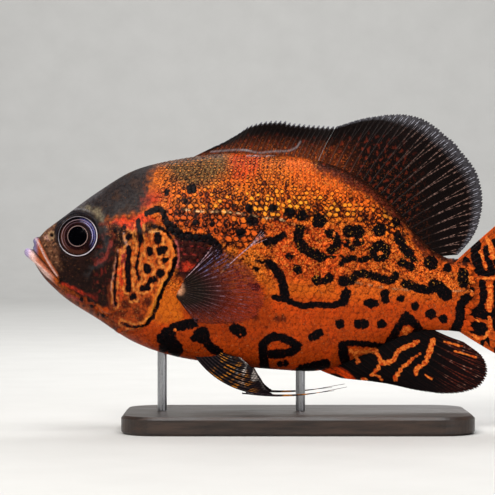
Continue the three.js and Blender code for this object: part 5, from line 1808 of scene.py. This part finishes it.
def make_light():
    world = bpy.data.worlds.new("room")
    bpy.context.scene.world = world
    world.use_nodes = True
    background = world.node_tree.nodes["Background"]
    background.inputs["Color"].default_value = ROOM["colour"]
    background.inputs["Strength"].default_value = ROOM["glow"]
    fish = (-0.02, 0.0, 0.09)
    add_light("key", (-0.5, -1.0, 0.9), fish, 0.5, 15, (1.0, 0.97, 0.93))
    add_light("top", (0.0, -0.1, 1.1), fish, 0.7, 8)
    add_light("fill", (1.5, -1.6, 0.6), fish, 1.05, 8)
    add_light("back", (0.3, 0.8, 0.8), fish, 0.5, 5)
    add_light("wall", (0.0, 1.3, 2.2), (0.0, 3.4, 0.2), 2.0, 60)
    bpy.context.scene.view_settings.view_transform = "Standard"


# The model

def place_pieces():
    skin = make_skin(skin_material())
    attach(skin, "root")
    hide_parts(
        "head", "upper_jaw", "lower_jaw", "gill_cover_left", "gill_cover_right", "trunk", "tail_stem"
    )

    for coat in make_coats(scale_material()):
        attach(coat, "root")

    dark, clear = fin_material("dark_fin"), fin_material("clear_fin", clear=True)
    single = [
        (
            "dorsal_spiny", middle_fin(DORSAL_BASE, SPINY_MARGIN, 1.2, 3, 0.03), "spiny", dorsal_paint,
            "dorsal_fin_spiny"
        ),
        (
            "dorsal_soft", middle_fin(SOFT_BASE, SOFT_MARGIN, 2.2, 3, 0.03), "soft", dorsal_paint,
            "dorsal_fin_soft"
        ),
        ("anal", middle_fin(ANAL_BASE, ANAL_MARGIN, 1.4, 3, -0.03), "anal", anal_paint, "anal_fin"),
        ("tail", tail_fin_place, "tail", tail_paint, "tail_fin"),
    ]
    for name, place, look, painter, node in single:
        fin = fin_sheet(name, place, FIN_LOOKS[look], dark, painter)
        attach(fin, "root")
        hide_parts(node)
    for word, side in (("left", LEFT), ("right", RIGHT)):
        for name, shape, painter, material, slot in (
            ("pectoral", PECTORAL, pectoral_paint, clear, "clear_fin"),
            ("pelvic", PELVIC, pelvic_paint, dark, "dark_fin"),
        ):
            fin = fin_sheet(f"{name}_{word}", paired_fin(shape), FIN_LOOKS[name], material, painter, side)
            pieces = [fin]
            for number, path in enumerate(shape["streamers"]):
                label = f"{name}_long_ray_{number + 1}_{word}"
                pieces.append(thread(label, path, shape["thick"], material, painter, side))
            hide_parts(f"{name}_fin_{word}")
            for piece in pieces:
                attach(piece, "root")

    iris, cornea = iris_material(), cornea_material()
    for word, side in (("left", LEFT), ("right", RIGHT)):
        pieces = [make_iris(side, iris), make_cornea(side, cornea)]
        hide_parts(f"eye_{word}")
        for piece in pieces:
            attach(piece, "root")

    wood, steel = wood_material(), steel_material()
    for node, material in (("stand_base", wood), ("stand_rod_1", steel), ("stand_rod_2", steel)):
        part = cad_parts[node]
        part.data.materials.clear()
        part.data.materials.append(material)


make_camera()
make_floor()
make_light()
place_pieces()
